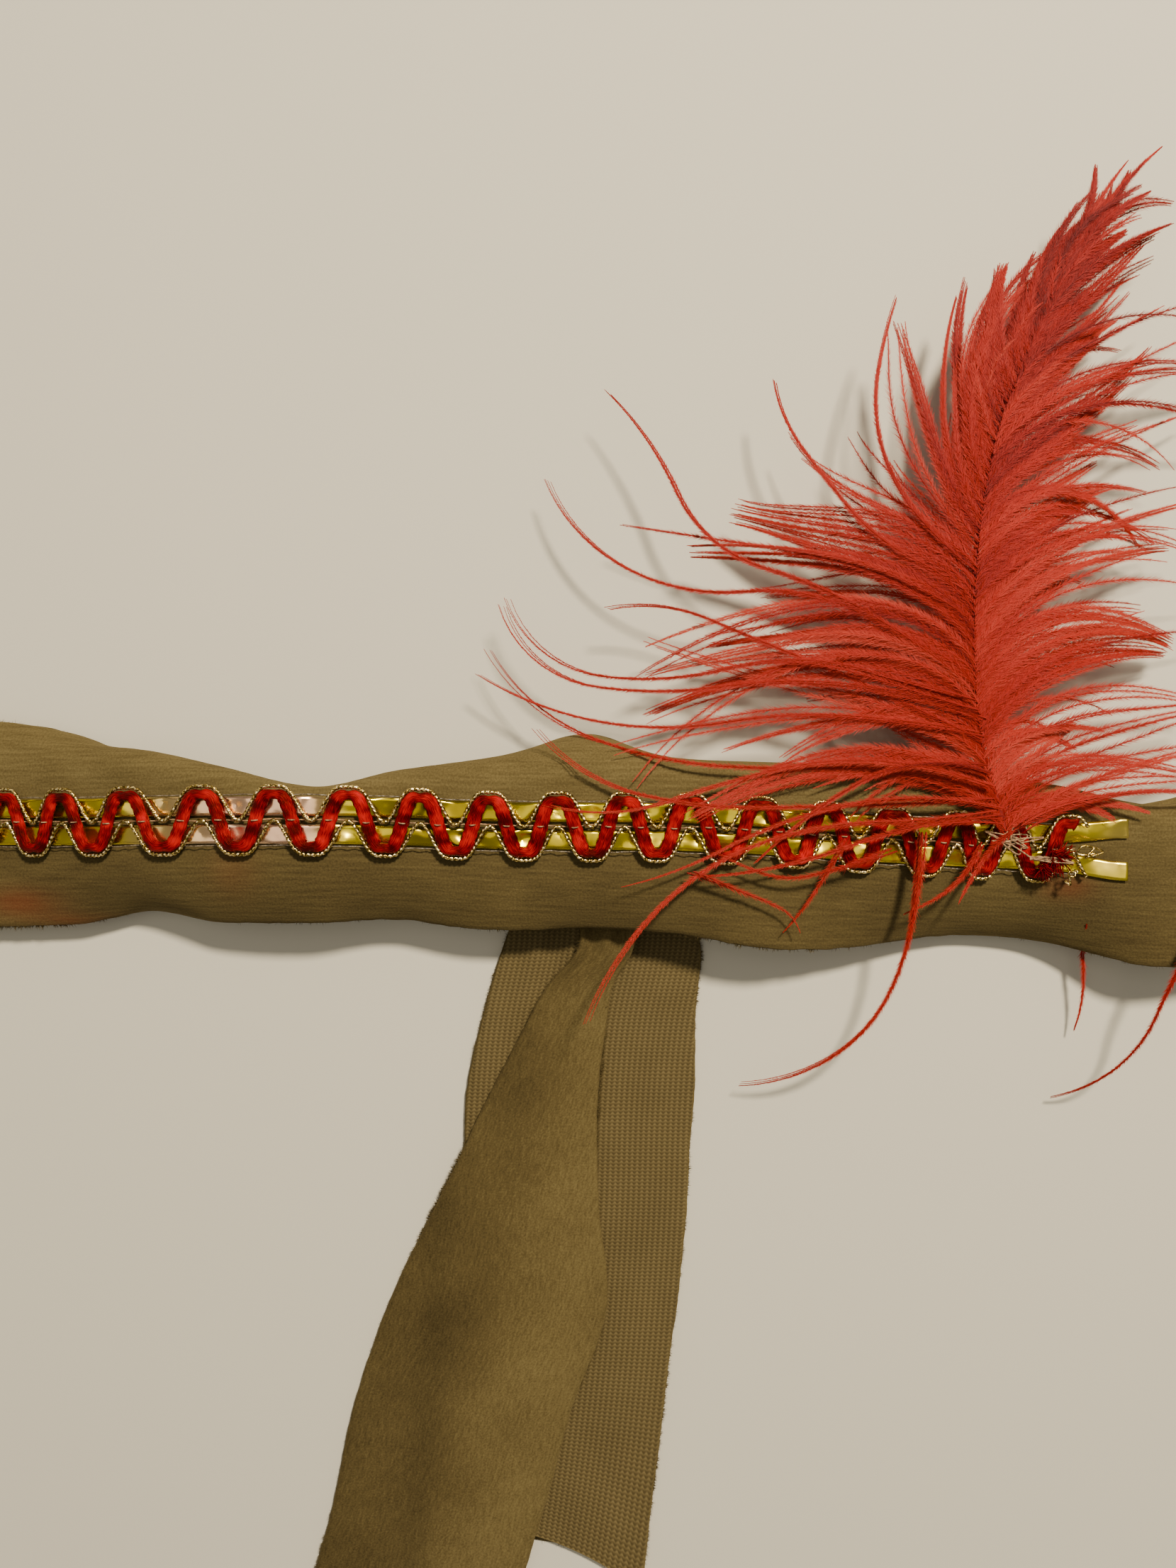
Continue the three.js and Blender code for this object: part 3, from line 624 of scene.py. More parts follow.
bandSteps = 700
ring, ringIsBack = sheetSection(45, 23)
places, walked = evenPlaces(bandSteps)
widthAbove = bandAbove + raggedEdge(bandSteps, 0.08, 0.1, 9)
widthBelow = loopRow(places)["below"][:, None] + raggedEdge(bandSteps, 0.08, 0.1, 9)
share, past, height = ring.T
across = np.where(share > 0, share * widthAbove + past, share * widthBelow - past)
bandPoints = bandPoint(places, across, np.broadcast_to(height, across.shape))
bandUv = np.stack([np.broadcast_to(walked[:, None], across.shape), across], -1)
bandCloth = makePiece(
    "band_cloth", bandPoints, ringFaces(bandSteps, len(ring)), [velour, knit],
    uv=bandUv, faceMaterial=np.tile(ringIsBack, bandSteps - 1))
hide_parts("band")
report("band")

backTailRows = np.array([
    [-4.5, -8, 10.5, -8, 2.4, 1.1, 0],
    [-10.2, -13, 15.6, -13, 1.5, 0.7, 0],
    [-14.0, -21, 18.9, -21, 0.8, 0.1, 0],
    [-18.0, -34, 17.8, -34, 0.7, 0, 0],
    [-20.2, -48, 17.4, -48, 0.7, 0, 0],
    [-20.6, -66, 16.4, -66, 0.7, 0, 0],
    [-21.2, -84, 14.4, -84, 0.7, 0, 0],
    [-22.8, -102, 12.1, -104, 0.7, 0, 1],
    [-24.6, -118.8, 8.9, -129.5, 0.7, 0, 3.4],
])
frontTailRows = np.array([
    [-1.6, -8, 7.4, -8, 6.2, 0.6, 0],
    [-1.4, -15, 7.6, -15, 5.6, 0.6, 0],
    [-1.8, -21.3, 7.0, -21.3, 4.2, 0.4, 0],
    [-6.8, -27.5, 3.7, -27.5, 3.2, 0.2, 0],
    [-11.2, -36, 2.8, -36, 2.7, 0, 0],
    [-18.7, -50.6, 1.6, -50.6, 2.6, 0, 0],
    [-26.2, -65.5, 1.4, -65.5, 2.6, 0, 0],
    [-33.8, -82.5, 2.6, -82.5, 2.6, 0, 0],
    [-39.2, -99, -3.4, -99, 2.6, 0, 0],
    [-42.8, -115, -8.0, -115, 2.6, 0, 0],
    [-47.8, -132, -15.4, -141, 2.6, 0, 0],
])
backTailFolds = [(0.37, 0.065, 2.2), (0.17, 0.04, 1.2)]  # middle and width as shares, and height
landing = 8


def tailPoint(rows, place, share, height, overBackTail):
    # place is a row number with its fraction and share runs from the left edge to the right one.
    leftX, leftY, rightX, rightY, z, pleat, bow = (column[:, None] for column in between(rows, place).T)
    x = leftX + (rightX - leftX) * share
    y = leftY + (rightY - leftY) * share + bow * 4 * share * (1 - share)
    z = z + pleat * np.cos(4 * np.pi * share)
    if not overBackTail:
        folds = sum(rise * np.exp(-((share - middle) / width) ** 2) for middle, width, rise in backTailFolds)
        z = z + smoothstep(y, -46, -14) ** 2 * folds
    else:
        dense = np.linspace(0, len(backTailRows) - 1, 400)
        edges = between(backTailRows, dense)
        edge = np.interp(-y, -edges[:, 1], edges[:, 0])
        over = smoothstep(x, edge - landing, edge - 1)
        z = clothThickness / 2 + (z - clothThickness / 2) * over
    return np.stack([x, y, z + height], -1)


def makeTail(name, rows, overBackTail, pileUp, node, steps=300):
    ring, isBack = sheetSection(41, 31)
    dense = np.linspace(0, len(rows) - 1, 2000)
    middles = tailPoint(rows, dense, np.full((len(dense), 1), 0.5), 0, overBackTail)[:, 0]
    walked = walkedAlong(middles)
    wanted = np.linspace(0, walked[-1], steps)
    place = np.interp(wanted, walked, dense)
    # The cut is the outline laid flat: its width is measured square to the tail's middle line.
    width = np.linalg.norm(between(rows, place)[:, 0:2] - between(rows, place)[:, 2:4], axis=1)[:, None]
    ragged = [raggedEdge(steps, 0.03, 0.2, 12) for _ in range(2)]
    side, past, height = ring.T
    if not pileUp:
        height = -height
    stray = past + np.where(side > 0, ragged[0], ragged[1]) * np.abs(side)
    share = 0.5 + side / 2 + np.sign(side) * stray / width
    points = tailPoint(rows, place, share, height, overBackTail)
    points[..., 2] = np.maximum(points[..., 2], 0)
    uv = np.stack([np.broadcast_to(wanted[:, None], share.shape), (share - 0.5) * width], -1)
    faces = closedTube(steps, len(ring))
    if not pileUp:
        faces[0] = faces[0][:, ::-1]
    piece = makePiece(name, points, faces, [tailVelour, knit], uv=uv,
                      faceMaterial=np.concatenate([np.tile(isBack, steps - 1), [0, 0]]))
    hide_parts(node)


makeTail("tail_back_cloth", backTailRows, False, False, "tail_back")
makeTail("tail_front_cloth", frontTailRows, True, True, "tail_front")
report("tails")

# The knot: a pillow with a wrap of cloth over it on the slant.

knotDims = {
    "length": 20.6, "width": 17.0, "height": 8.4, "x": 2.0, "y": 1.5, "slant": 62, "wrapReach": 4.2,
    "wrapSwell": 0.16, "creaseDepth": 0.025, "wrinkleDepth": 0.012}
rows, around = 70, 110
polar = np.linspace(0.02, np.pi - 0.02, rows)[:, None]
turn = np.linspace(0, 2 * np.pi, around, endpoint=False)[None, :]
ball = np.stack([np.sin(polar) * np.cos(turn), np.sin(polar) * np.sin(turn), np.cos(polar) + 0 * turn], -1)
slant = math.radians(knotDims["slant"])
fromWrap = ball[..., 0] * math.sin(slant) - ball[..., 1] * math.cos(slant)
distance = fromWrap * knotDims["length"] / 2 / knotDims["wrapReach"]
onWrap = np.exp(-distance ** 2)
creases = knotDims["creaseDepth"] * np.cos(9 * distance) * (1 - onWrap)
wrinkles = knotDims["wrinkleDepth"] * np.cos(14 * ball[..., 1] + 3 * distance)
swell = 1 + knotDims["wrapSwell"] * onWrap + (creases + wrinkles)
rounded = ball * (swell - 0.02)[..., None]
knotPoints = np.stack([
    knotDims["x"] + rounded[..., 0] * knotDims["length"] / 2,
    knotDims["y"] + rounded[..., 1] * knotDims["width"] / 2,
    np.maximum(0, knotDims["height"] * (0.42 + 0.58 * rounded[..., 2]))], -1)
knotCloth = makePiece("knot_cloth", knotPoints, closedTube(rows, around, flipped=True), [velour],
                      uv=knotPoints[..., :2])
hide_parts("knot")

# The braid trim

touchGap = 0.3
foilDims = {
    "width": 3.0, "thickness": 0.5, "halfFilm": 0.06, "fromMiddle": 0.7, "splay": 1.2, "splayLength": 12,
    "endX": 85.9}
foilDents = ((0.09, 5, 1), (0.05, 3, 2), (0.12, 8, 0))  # depth, length in samples, and waves across
trimStartX = -106
foilHeight = clothThickness / 2 + touchGap + foilDims["thickness"] / 2
foilTop = foilHeight + foilDims["thickness"] / 2


def makeFoil(name, side, node):
    steps, wide = 500, 7
    x = np.linspace(trimStartX, foilDims["endX"], steps)
    place = placeOf("x", x)
    splay = foilDims["splay"] * smoothstep(x, foilDims["endX"] - foilDims["splayLength"], foilDims["endX"])
    middle = side * (foilDims["fromMiddle"] + foilDims["width"] / 2 + splay)
    share = np.linspace(-0.5, 0.5, wide)
    across = middle[:, None] + foilDims["width"] * share[None, :]
    dents = sum(size * np.outer(smoothNoise(steps, width), np.cos(k * np.pi * share + k))
                for size, width, k in foilDents)
    top = sectionPoint(place, across, foilHeight + dents + foilDims["halfFilm"])
    under = sectionPoint(place, across[:, ::-1], (foilHeight + dents - foilDims["halfFilm"])[:, ::-1])
    piece = makePiece(name, np.concatenate([top, under], 1), closedTube(steps, 2 * wide, flipped=True),
                      [foil])
    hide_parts(node)


makeFoil("gold_film_upper", 1, "gold_strip_upper")
makeFoil("gold_film_lower", -1, "gold_strip_lower")

redDims = {
    "width": 2.3, "crestWidth": 1.55, "thickness": 1.1, "amplitude": 4.05, "third": 0.12, "endX": 77.6,
    "turnPerMm": 1.1, "strands": 4, "groove": 0.1}
goldDims = {
    "diameter": 0.68, "reach": 5.35, "shoulder": 4, "endX": 79.4, "pitch": 1.5, "plies": 2, "groove": 0.34}


def waveLine(wave, height, endX, count):
    # The line of a wave laid on the band in even steps, and which way is up from the band.
    place = placeOf("x", np.linspace(trimStartX, endX, count * 2))
    repeats = loopRow(place)["repeats"]
    swing = wave(repeats)
    line = sectionPoint(place, swing, np.full(len(place), height))
    lifted = sectionPoint(place, swing, np.full(len(place), height + 1))
    walked = walkedAlong(line)
    wanted = np.linspace(0, walked[-1], count)
    rows = readAt(wanted, walked, np.concatenate([line, lifted - line, repeats[:, None]], 1))
    return rows[:, :3], unit(rows[:, 3:6]), rows[:, 6], wanted


def makeCord(name, line, up, walked, material, node, sides, sizeAcross, sizeUp, turn, lobes, depth):
    _, across, facing = lineFrame(line, up)
    points = sweep(line, across, facing, sides, sizeAcross, sizeUp, turn, lobes, depth)
    angle = np.linspace(0, 1, sides, endpoint=False)
    girth = np.mean(sizeAcross) * np.pi
    uv = np.stack([np.broadcast_to(walked[:, None], points.shape[:2]),
                   np.broadcast_to(girth * angle[None, :], points.shape[:2])], -1)
    piece = makePiece(name, points, closedTube(len(line), sides), [material], uv=uv)
    if node:
        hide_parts(node)


redHeight = foilTop + touchGap + 0.5


def redWave(repeats):
    # A cosine with its third harmonic taken off, so that the arches are round and the limbs steep.
    turn = 2 * np.pi * repeats
    third = redDims["third"]
    return redDims["amplitude"] * (np.cos(turn) - third * np.cos(3 * turn)) / (1 - third)


line, up, repeats, walked = waveLine(redWave, redHeight, redDims["endX"], 1500)
crest = np.abs(np.cos(2 * np.pi * repeats)) ** 6
lumps = 0.06 * smoothNoise(len(line), 9)
makeCord("red_braid", line, up, walked, satin, "red_cord", 16,
         redDims["width"] + (redDims["crestWidth"] - redDims["width"]) * crest + lumps,
         redDims["thickness"] * (1 + 0.1 * crest), turn=walked * redDims["turnPerMm"],
         lobes=redDims["strands"], depth=redDims["groove"])


def goldWave(side):
    def wave(repeats):
        fromCrest = np.sin(np.pi * repeats) if side > 0 else np.cos(np.pi * repeats)
        return side * goldDims["reach"] * (1 - np.abs(fromCrest) ** goldDims["shoulder"])
    return wave


goldHeight = foilTop + touchGap + goldDims["diameter"] / 2
for side, name in ((1, "upper"), (-1, "lower")):
    line, up, repeats, walked = waveLine(goldWave(side), goldHeight, goldDims["endX"], 2400)
    makeCord(f"gold_twist_{name}", line, up, walked, goldYarn, f"gold_cord_{name}", 12,
             goldDims["diameter"], goldDims["diameter"],
             turn=walked * 2 * np.pi / goldDims["pitch"], lobes=goldDims["plies"], depth=goldDims["groove"])


def addThread(name, line, diameter, material):
    # Two-ply thread that turns as it goes.
    walked = walkedAlong(line)
    makeCord(name, line, (0.0, 0.0, 1.0), walked, material, None, 6, diameter, diameter,
             turn=walked * 5, lobes=2, depth=0.3)


# Stitching: clear nylon down the foils' outer edges, and cotton over the red braid's limbs.
stitchDims = {"nylon": 0.2, "cotton": 0.24, "fromMiddle": 4.0, "pitch": 2.2, "dip": 0.12, "limbReach": 2.2}
stitchX = np.linspace(trimStartX, redDims["endX"], 1100)
stitchPlace = placeOf("x", stitchX)
for side, name in ((1, "upper"), (-1, "lower")):
    dips = stitchDims["dip"] * np.cos(2 * np.pi * stitchX / stitchDims["pitch"])
    across = side * (stitchDims["fromMiddle"] + 0.05 * smoothNoise(len(stitchX), 6))
    line = sectionPoint(stitchPlace, across, foilTop + 0.16 + dips)
    addThread(f"nylon_stitch_{name}", line, stitchDims["nylon"], nylon)
swing = redWave(loopRow(stitchPlace)["repeats"])
overRed = np.exp(-(swing / stitchDims["limbReach"]) ** 4)
lift = foilTop + 0.15 + (redHeight + redDims["thickness"] / 2 + 0.1 - foilTop) * overRed
across = 0.1 + 0.12 * smoothNoise(len(stitchX), 9)
line = sectionPoint(stitchPlace, across, lift)
addThread("cotton_stitch", line, stitchDims["cotton"], cotton)


def tangle(name, x, y, z, size, count, diameter, material, seed):
    # A loose knot of thread: a smooth line through points scattered round one place.
    own = np.random.default_rng(seed)
    corners = own.normal(0, 0.5, (count, 3)) * np.array(size) + np.array([x, y, z])
    line, _ = evenly(smoothLine(corners, count * 14), count * 12)
    addThread(name, line, diameter, material)


# The plume's quill is tied down here, and the braid's cut end has frayed.
tangle("tie_knot_a", 67.0, -2.2, 14.4, (3.0, 2.4, 0.5), 26, 0.28, cotton, 3)
tangle("tie_knot_b", 71.5, -5.2, 14.6, (4.5, 0.8, 0.4), 18, 0.26, cotton, 4)
tangle("loose_gold_a", 79.5, -4.4, 14.2, (2.4, 1.4, 0.4), 8, 0.4, goldYarn, 5)
tangle("loose_gold_b", 76.5, -8.0, 14.0, (1.2, 1.2, 0.3), 7, 0.4, goldYarn, 8)


def addTuft(name, x, y, z, heading, spread, length, count, steps=8, radius=0.07):
    # Cut filaments that fan out from one end, each one a thin three-sided tube that droops.
    turn = np.radians(heading + rng.normal(0, spread, count))[:, None, None]
    share = np.linspace(0, 1, steps)[None, :, None]
    reach = (length * rng.uniform(0.5, 1.0, count))[:, None, None]
    bend = rng.normal(0, 0.4, count)[:, None, None]
    lines = np.concatenate([
        x + reach * share * np.cos(turn + bend * share) + rng.normal(0, 0.35, count)[:, None, None],
        y + reach * share * np.sin(turn + bend * share) + rng.normal(0, 0.35, count)[:, None, None],
        z + rng.normal(0, 0.25, count)[:, None, None] - 0.5 * share ** 2 + 0 * turn], 2)
    _, across, up = lineFrame(lines)
    points = lines[:, :, None, :] + threeSided(across, up) * radius
    uv = np.zeros(points.shape[:3] + (2,))
    uv[..., 1] = rng.random(count)[:, None, None] * 4
    makePiece(name, points, manyTubes(count, steps), [satin], uv=uv)


addTuft("frayed_braid", 73.6, -4.6, 14.6, -25, 38, 3.4, 150)
addTuft("frayed_braid_low", 72.0, -6.6, 14.3, -60, 40, 2.4, 80)


tuftCount = 997


def addFuzz(name, edges, perMm, length, material):
    # Pile fibres along cut edges. Each edge is a line with the direction out of the cloth.
    roots, ways = [], []
    for line, outward in edges:
        walked = walkedAlong(line)
        number = int(walked[-1] * perMm)
        at = np.interp(rng.random(number), walked / walked[-1], np.arange(len(line)))
        low = np.minimum(at.astype(int), len(line) - 2)
        part = (at - low)[:, None]
        along = unit(line[low + 1] - line[low])
        lift = rng.normal(0, 0.22, (number, 1)) * [0, 0, 1]
        roots.append(line[low] * (1 - part) + line[low + 1] * part + lift)
        leaning = along * rng.normal(0, 0.5, (number, 1))
        ways.append(unit(outward[low] + leaning + rng.normal(0, 0.3, (number, 3))))
    roots, ways = np.concatenate(roots), np.concatenate(ways)
    roots[:, 2] = np.maximum(roots[:, 2], 0.1)
    tuft = np.floor(roots.sum(1) / 0.7).astype(int) % tuftCount
    tuftLength = rng.uniform(0.3, 1.3, tuftCount)[tuft]
    tips = roots + ways * length * (tuftLength * rng.uniform(0.5, 1.1, len(roots)))[:, None]
    tips[:, 2] = np.maximum(tips[:, 2], 0.05)
    aside = unit(np.cross(ways, np.array([0.0, 0.0, 1.0]))) * 0.07
    points = np.stack([roots - ways * 0.2 - aside, roots - ways * 0.2 + aside, tips], 1).reshape(-1, 3)
    uv = points[:, :2].copy()
    makePiece(name, points, [np.arange(len(points)).reshape(-1, 3)], [material], uv=uv)


def bandEdge(side, places):
    wide = np.where(side > 0, bandAbove, loopRow(places)["below"])[:, None] * side
    rim = bandPoint(places, wide, np.zeros_like(wide))[:, 0]
    inner = bandPoint(places, wide - side * 0.6, np.zeros_like(wide))[:, 0]
    return rim, unit(rim - inner)


def tailEdge(rows, side, overBackTail):
    place = np.linspace(0, len(rows) - 1, 260)
    shares = np.full((260, 1), 0.5 + side / 2)
    rim = tailPoint(rows, place, shares, 0, overBackTail)[:, 0]
    inner = tailPoint(rows, place, shares - side * 0.04, 0, overBackTail)[:, 0]
    return rim, unit(rim - inner)


def tailCut(rows, overBackTail):
    shares = np.linspace(0, 1, 80)[None, :]
    last = np.array([len(rows) - 1.0])
    rim = tailPoint(rows, last, shares, 0, overBackTail)[0]
    inner = tailPoint(rows, last - 0.05, shares, 0, overBackTail)[0]
    return rim, unit(rim - inner)


for name, rows, over in (("tail_front_fuzz", frontTailRows, True), ("tail_back_fuzz", backTailRows, False)):
    edges = [tailEdge(rows, side, over) for side in (-1, 1)] + [tailCut(rows, over)]
    addFuzz(name, edges, 20, 0.7, tailVelour)
addFuzz("band_fuzz", [bandEdge(side, places) for side in (-1, 1)], 24, 1.0, velour)
report("trim")

# The plume: a quill, and barbs that each carry two rows of fine barbules.

# x, y and z down the quill from root to tip
quillRows = [
    (66.2, -2.6, 14.2), (64.8, 3.9, 14.0), (62.3, 10.8, 14.4), (60.5, 22.7, 16.2), (60.0, 34.7, 17.2),
    (61.1, 48.2, 17.2), (63.8, 61.5, 16.6), (67.6, 70.9, 16.0), (72.7, 82.5, 15.0), (79.9, 93.6, 13.6)]
quill, _ = evenly(smoothLine(quillRows, 400), 200)
lockColumns = "at first second third last length sink".split()
leftLocks = np.array([
    [0.0, 112, 150, 188, 206, 52, 0],
    [0.06, 120, 158, 186, 202, 54, 1],
    [0.12, 122, 162, 186, 198, 56, 3],
    [0.17, 116, 158, 184, 196, 56, 5],
    [0.23, 112, 152, 182, 188, 55, 8],
    [0.31, 112, 148, 176, 182, 53, 9],
    [0.37, 116, 146, 166, 158, 50, 9],
    [0.43, 122, 146, 150, 124, 48, 8],
    [0.47, 138, 114, 94, 80, 38, 4],
    [0.53, 126, 100, 80, 62, 35, 4],
    [0.6, 130, 107, 80, 56, 36, 3],
    [0.7, 125, 100, 73, 50, 33, 2],
    [0.82, 108, 84, 62, 45, 27, 1],
    [0.96, 72, 60, 52, 46, 17, 1],
])
rightLocks = np.array([
    [0.0, 60, 26, 2, -10, 40, 0],
    [0.06, 62, 32, 4, -8, 40, 3],
    [0.13, 62, 42, 14, 0, 44, 8],
    [0.2, 60, 44, 20, 6, 46, 9],
    [0.28, 58, 43, 20, 8, 47, 10],
    [0.36, 56, 40, 18, 8, 46, 10],
    [0.45, 54, 38, 20, 12, 46, 10],
    [0.54, 56, 40, 24, 16, 44, 9],
    [0.63, 57, 42, 29, 22, 40, 8],
    [0.73, 58, 44, 34, 27, 35, 7],
    [0.84, 60, 48, 38, 31, 27, 5],
    [0.96, 60, 52, 44, 38, 17, 3],
])
overTrim = 1.6
offTable = 0.6


def floorUnder(x, y):
    # The lowest that a barb may lie: over the trimmed band, or just off the table.
    top = np.interp(x, frontRows[:, 0], frontRows[:, 2] + foilTop + overTrim)
    over = smoothstep(y, -31, -7) * (1 - smoothstep(y, 9, 17))
    return offTable + (top - offTable) * over


def barbLines(roots, headings, lengths, sinks, steps):
    # headings is a table of turns at even shares along each barb.
    share = np.linspace(0, 1, steps)
    knots = np.linspace(0, 1, headings.shape[1])
    heading = np.radians(np.stack([np.interp(share, knots, row) for row in headings]))
    stride = lengths[:, None] / (steps - 1)
    x = roots[:, :1] + np.cumsum(np.cos(heading) * stride, 1) - np.cos(heading[:, :1]) * stride
    y = roots[:, 1:2] + np.cumsum(np.sin(heading) * stride, 1) - np.sin(heading[:, :1]) * stride
    z = roots[:, 2:3] - sinks[:, None] * share ** 2
    z = np.maximum(z, floorUnder(x, y))
    return np.stack([x, y, z], -1)


def makeBarbs(name, lines, shades, spacing, reach, core):
    # core is the barb's own thickness at its root, and reach the length of its barbules.
    count, steps, _ = lines.shape
    share = np.linspace(0, 1, steps)
    along, across, up = lineFrame(lines)
    radius = core / 2 * (1 - 0.75 * share[None, :, None, None])
    tubes = lines[:, :, None, :] + threeSided(across, up) * radius
    tubeFaces = manyTubes(count, steps)
    tubeShade = np.broadcast_to((shades[:, None] - 0.12 + 0.1 * share)[:, :, None], (count, steps, 3))

    lengths = np.linalg.norm(np.diff(lines, axis=1), axis=2).sum(1)
    roots, tips, widths, tones = [], [], [], []
    for side in (-1, 1):
        for b in range(count):
            number = int(lengths[b] / spacing)
            s = (np.arange(number) + rng.random(number)) / number
            at = s * (steps - 1)
            low = np.minimum(at.astype(int), steps - 2)
            part = (at - low)[:, None]
            root = lines[b, low] * (1 - part) + lines[b, low + 1] * part
            ahead, aside, above = along[b, low], across[b, low], up[b, low]
            lean = np.radians(rng.normal(24, 8, number))[:, None]
            sine, cosine = np.sin(lean), np.cos(lean)
            rise = rng.normal(0, 0.16, number)[:, None]
            full = np.minimum(1, 0.5 + s * 6) * (1.25 - 0.35 * s - 0.78 * s ** 3)
            size = (reach * full * rng.uniform(0.7, 1.25, number))[:, None]
            roots.append(root)
            tips.append(root + size * (cosine * ahead + side * sine * aside + rise * above))
            halfWidth = 0.5 * rng.uniform(0.06, 0.1, number)[:, None]
            widths.append(halfWidth * unit(aside * cosine - side * ahead * sine))
            tones.append(shades[b] + 0.22 * s + rng.normal(0, 0.08, number))
    roots, tips, widths, tones = (np.concatenate(part) for part in (roots, tips, widths, tones))
    blades = np.stack([roots - widths, roots + widths, tips], 1)
    blades[..., 2] = np.maximum(blades[..., 2], 0.1)
    bladeFaces = np.arange(len(blades) * 3).reshape(-1, 3) + count * steps * 3
    points = np.concatenate([tubes.reshape(-1, 3), blades.reshape(-1, 3)])
    shade = np.concatenate([tubeShade.ravel(), np.repeat(tones, 3) + np.tile([0, 0, 0.12], len(tones))])
    makePiece(name, points, [tubeFaces, bladeFaces], [barb], shade=np.clip(shade, 0, 1))
    print(name, len(tubeFaces) * 2 + len(bladeFaces), "triangles")


def lockRows(table, at):
    place = np.interp(at, table[:, 0], np.arange(len(table)))
    return dict(zip(lockColumns, between(table, place).T))


def vaneLines(table, density, count, under, shortShare, steps=26):
    # Barbs along one side of the quill. They lie side by side as a sheet at first, then cling in
    # wisps, so that each one's line is drawn towards its wisp's on the way to the tip.
    rising = np.linspace(0, 1, 200)
    crowd = np.cumsum(np.interp(rising, *density))
    at = np.interp((np.arange(count) + rng.uniform(0, 1, count)) / count, crowd / crowd[-1], rising)
    at = np.sort(np.clip(at, 0.003, 0.997))
    wisp = np.cumsum(rng.random(count) < 0.27)
    total = wisp[-1] + 1
    wispTurn = rng.normal(0, 7.5, total)
    wispLength = np.where(rng.random(total) < shortShare, rng.uniform(0.42, 0.7, total),
                          rng.uniform(0.74, 1.14, total))
    wispLift = rng.normal(0, 1.2, total)
    row = lockRows(table, at)
    lengths = row["length"] * wispLength[wisp] * rng.uniform(0.86, 1.06, count)
    headings = np.stack([row[column] for column in ("first", "second", "third", "last")], 1)
    headings += rng.normal(0, 1.5, (count, 1))
    ownTurn = rng.normal(0, 7, (count, 1))
    headings += wispTurn[wisp][:, None] * np.array([0, 0.3, 1.2, 2.4]) + ownTurn * np.array([0, 0, 0.3, 1])
    even = readAt(np.linspace(0, 1, 9), [0, 0.2, 0.55, 1], headings.T).T
    roots = readAt(at * (len(quill) - 1), np.arange(len(quill)), quill)
    roots[:, 2] += rng.normal(0.2, 0.2, count) - under
    lines = barbLines(roots, even, lengths, np.maximum(row["sink"] + wispLift[wisp], -0.8), steps)
    drawn = (0.8 * smoothstep(np.linspace(0, 1, steps), 0.25, 1.0))[None, :, None]
    centres = np.stack([lines[wisp == w].mean(0) for w in range(total)])
    lines = lines * (1 - drawn) + centres[wisp] * drawn
    lines[..., 2] = np.maximum(lines[..., 2], floorUnder(lines[..., 0], lines[..., 1]) - 0.3)
    return lines, wisp, at


plumeDims = {
    "quillRoot": 1.5, "quillTip": 0.5, "barb": 0.3, "barbule": 1.7, "barbuleGap": 0.15, "underDrop": 1.4}
quillSize = np.linspace(plumeDims["quillRoot"], plumeDims["quillTip"], len(quill))
_, across, facing = lineFrame(quill)
quillPoints = sweep(quill - [0, 0, 0.35], across, facing, 10, quillSize, quillSize * 0.8)
quillPiece = makePiece("plume_quill", quillPoints, closedTube(len(quill), 10), [barb],
                       shade=np.full(quillPoints.shape[:2], 0.12))
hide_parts("plume")

leftCrowd = ([0, 0.1, 0.15, 0.36, 0.4, 0.45, 0.49, 1], [0.45, 0.7, 1, 1, 0.6, 0.6, 1, 1.1])
rightCrowd = ([0, 0.06, 0.12, 1], [0.9, 0.8, 1, 1])
for name, table, crowd, count, under in (
        ("plume_left", leftLocks, leftCrowd, 260, 0), ("plume_right", rightLocks, rightCrowd, 260, 0),
        ("plume_left_under", leftLocks, leftCrowd, 95, plumeDims["underDrop"]),
        ("plume_right_under", rightLocks, rightCrowd, 95, plumeDims["underDrop"])):
    lines, wisp, at = vaneLines(table, crowd, count, under, 0.6 if table is leftLocks else 0.35)
    # Barbs of the under layers are painted darker, by 0.08 for each mm they lie below the top layer: painted
    # shade under the top layer.
    wispTone = rng.normal(0.52 - 0.08 * under, 0.13, wisp[-1] + 1)
    tone = wispTone[wisp] + rng.normal(0, 0.09, count) - 0.42 * at ** 2
    makeBarbs(name, lines, tone, plumeDims["barbuleGap"], plumeDims["barbule"], plumeDims["barb"])
report("vanes")

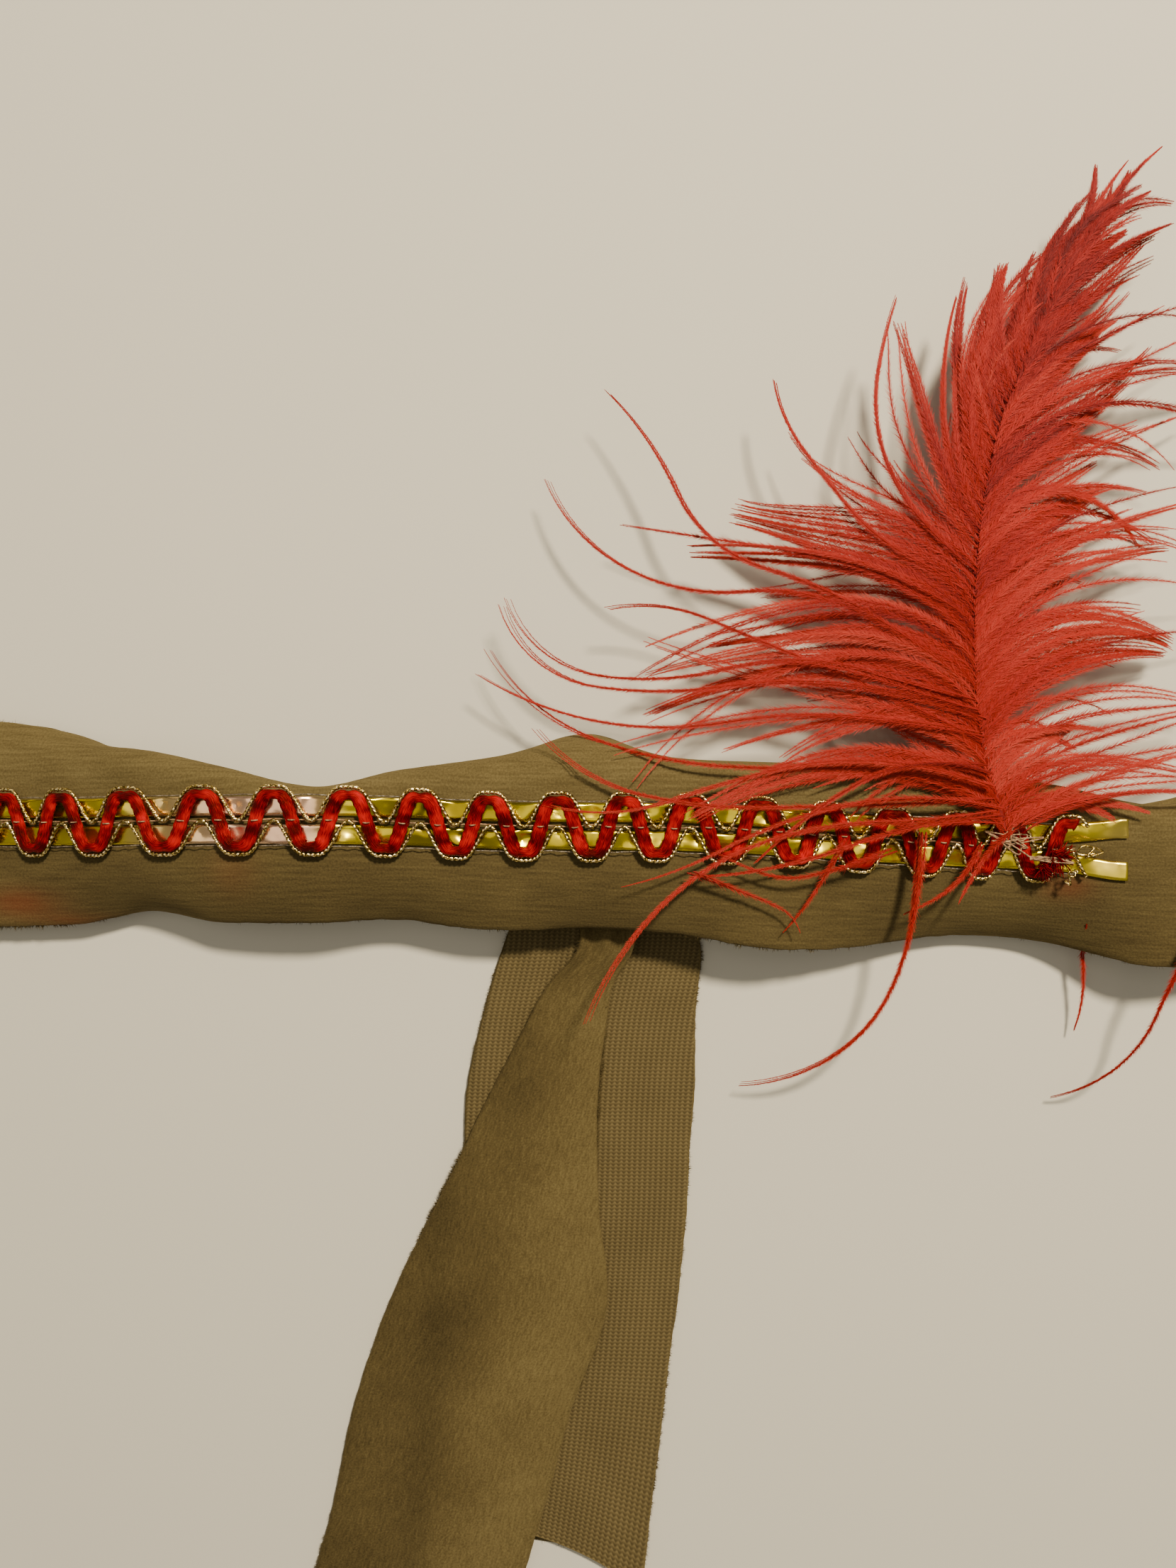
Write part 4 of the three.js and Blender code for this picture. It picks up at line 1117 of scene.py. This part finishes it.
# Wisps that have come away from the vane. Headings are given at even shares from root to tip.
strayColumns = "x y z length sink first second third fourth last barbs".split()
strays = np.array([
    [60.5, 22, 16, 78, 7, 142, 148, 163, 112, 130, 6],
    [60.0, 36, 17, 48, 6, 142, 152, 128, 122, 96, 6],
    [60.3, 40, 17, 50, 4, 142, 130, 104, 82, 72, 6],
    [60.0, 24, 16, 78, 9, 150, 150, 185, 150, 112, 4],
    [62.0, 13, 15, 64, 5, 154, 154, 157, 156, 188, 5],
    [61.0, 19, 16, 81, 8, 165, 165, 195, 172, 112, 3],
    [61.5, 17, 16, 83, 8, 160, 172, 190, 170, 110, 4],
    [62.5, 9, 15, 86, 8, 176, 184, 176, 158, 120, 3],
    [62.0, 14, 15, 82, 7, 168, 174, 188, 172, 150, 4],
    [60.0, 33, 17, 46, 6, 146, 152, 166, 174, 180, 6],
    [63.6, 4, 15, 76, 0, 184, 182, 182, 166, 135, 3],
    [61.4, 50, 17, 36, 2, 166, 98, 90, 84, 74, 12],
    [64.0, 2, 16, 78, 0, 190, 182, 200, 228, 247, 3],
    [48.0, -4, 16, 30, 0, 200, 196, 190, 160, 150, 2],
    [40.6, -2, 16, 18, 2, 236, 238, 240, 236, 230, 2],
    [52.0, -1, 16, 56, 12, 266, 264, 244, 216, 190, 5],
    [62.0, -3, 15, 17, 2, 246, 236, 222, 212, 206, 3],
    [97.0, -12, 16, 40, 14, 250, 246, 256, 232, 206, 4],
    [81.0, -17, 6, 19, 3, 284, 282, 275, 266, 258, 3],
    [16.0, -7.7, 16, 21, 1, -18, -20, -22, -26, -70, 2],
    [66.5, -1.5, 15, 14, 0, 215, 228, 236, 240, 245, 5],
    [64.0, 3, 16, 62, 0, 166, 182, 198, 206, 194, 3],
    [64.6, 1, 16, 50, 0, 172, 188, 200, 192, 180, 4],
    [63.4, 6, 16, 72, 1, 158, 176, 194, 202, 168, 3],
    [63.0, 8, 16, 42, 0, 156, 184, 208, 216, 224, 5],
    [67.5, 0, 16, 46, 0, 34, 12, 2, -8, -14, 5],
    [78.5, 92, 14, 20, 1, 62, 56, 50, 44, 40, 8],
    [77.0, 90, 14, 18, 1, 70, 66, 60, 56, 50, 6],
])


def strayLines(table, steps=34):
    lines, shades = [], []
    for row in table:
        found = dict(zip(strayColumns, row))
        number = int(found["barbs"])
        headings = np.array([[found[column] for column in ("first", "second", "third", "fourth", "last")]])
        headings = headings + rng.normal(0, 1.4, (number, 5)) * np.linspace(0.4, 1, 5)
        roots = np.array([[found["x"], found["y"], found["z"]]]) + rng.normal(0, 0.35, (number, 3))
        lengths = found["length"] * rng.uniform(0.72, 1.0, number)
        lengths[0] = found["length"]
        one = barbLines(roots, headings, lengths, np.full(number, found["sink"]), steps)
        drawn = (0.93 * smoothstep(np.linspace(0, 1, steps), 0, 0.5))[None, :, None]
        one = one * (1 - drawn) + one[:1] * drawn
        lines.append(one)
        shades.append(rng.normal(0.42, 0.08, number))
    return np.concatenate(lines), np.concatenate(shades)


lines, tones = strayLines(strays)
strayDims = {"barb": 0.32, "barbule": 1.1, "barbuleGap": 0.18}
makeBarbs("plume_strays", lines, tones, strayDims["barbuleGap"], strayDims["barbule"], strayDims["barb"])
report("plume")
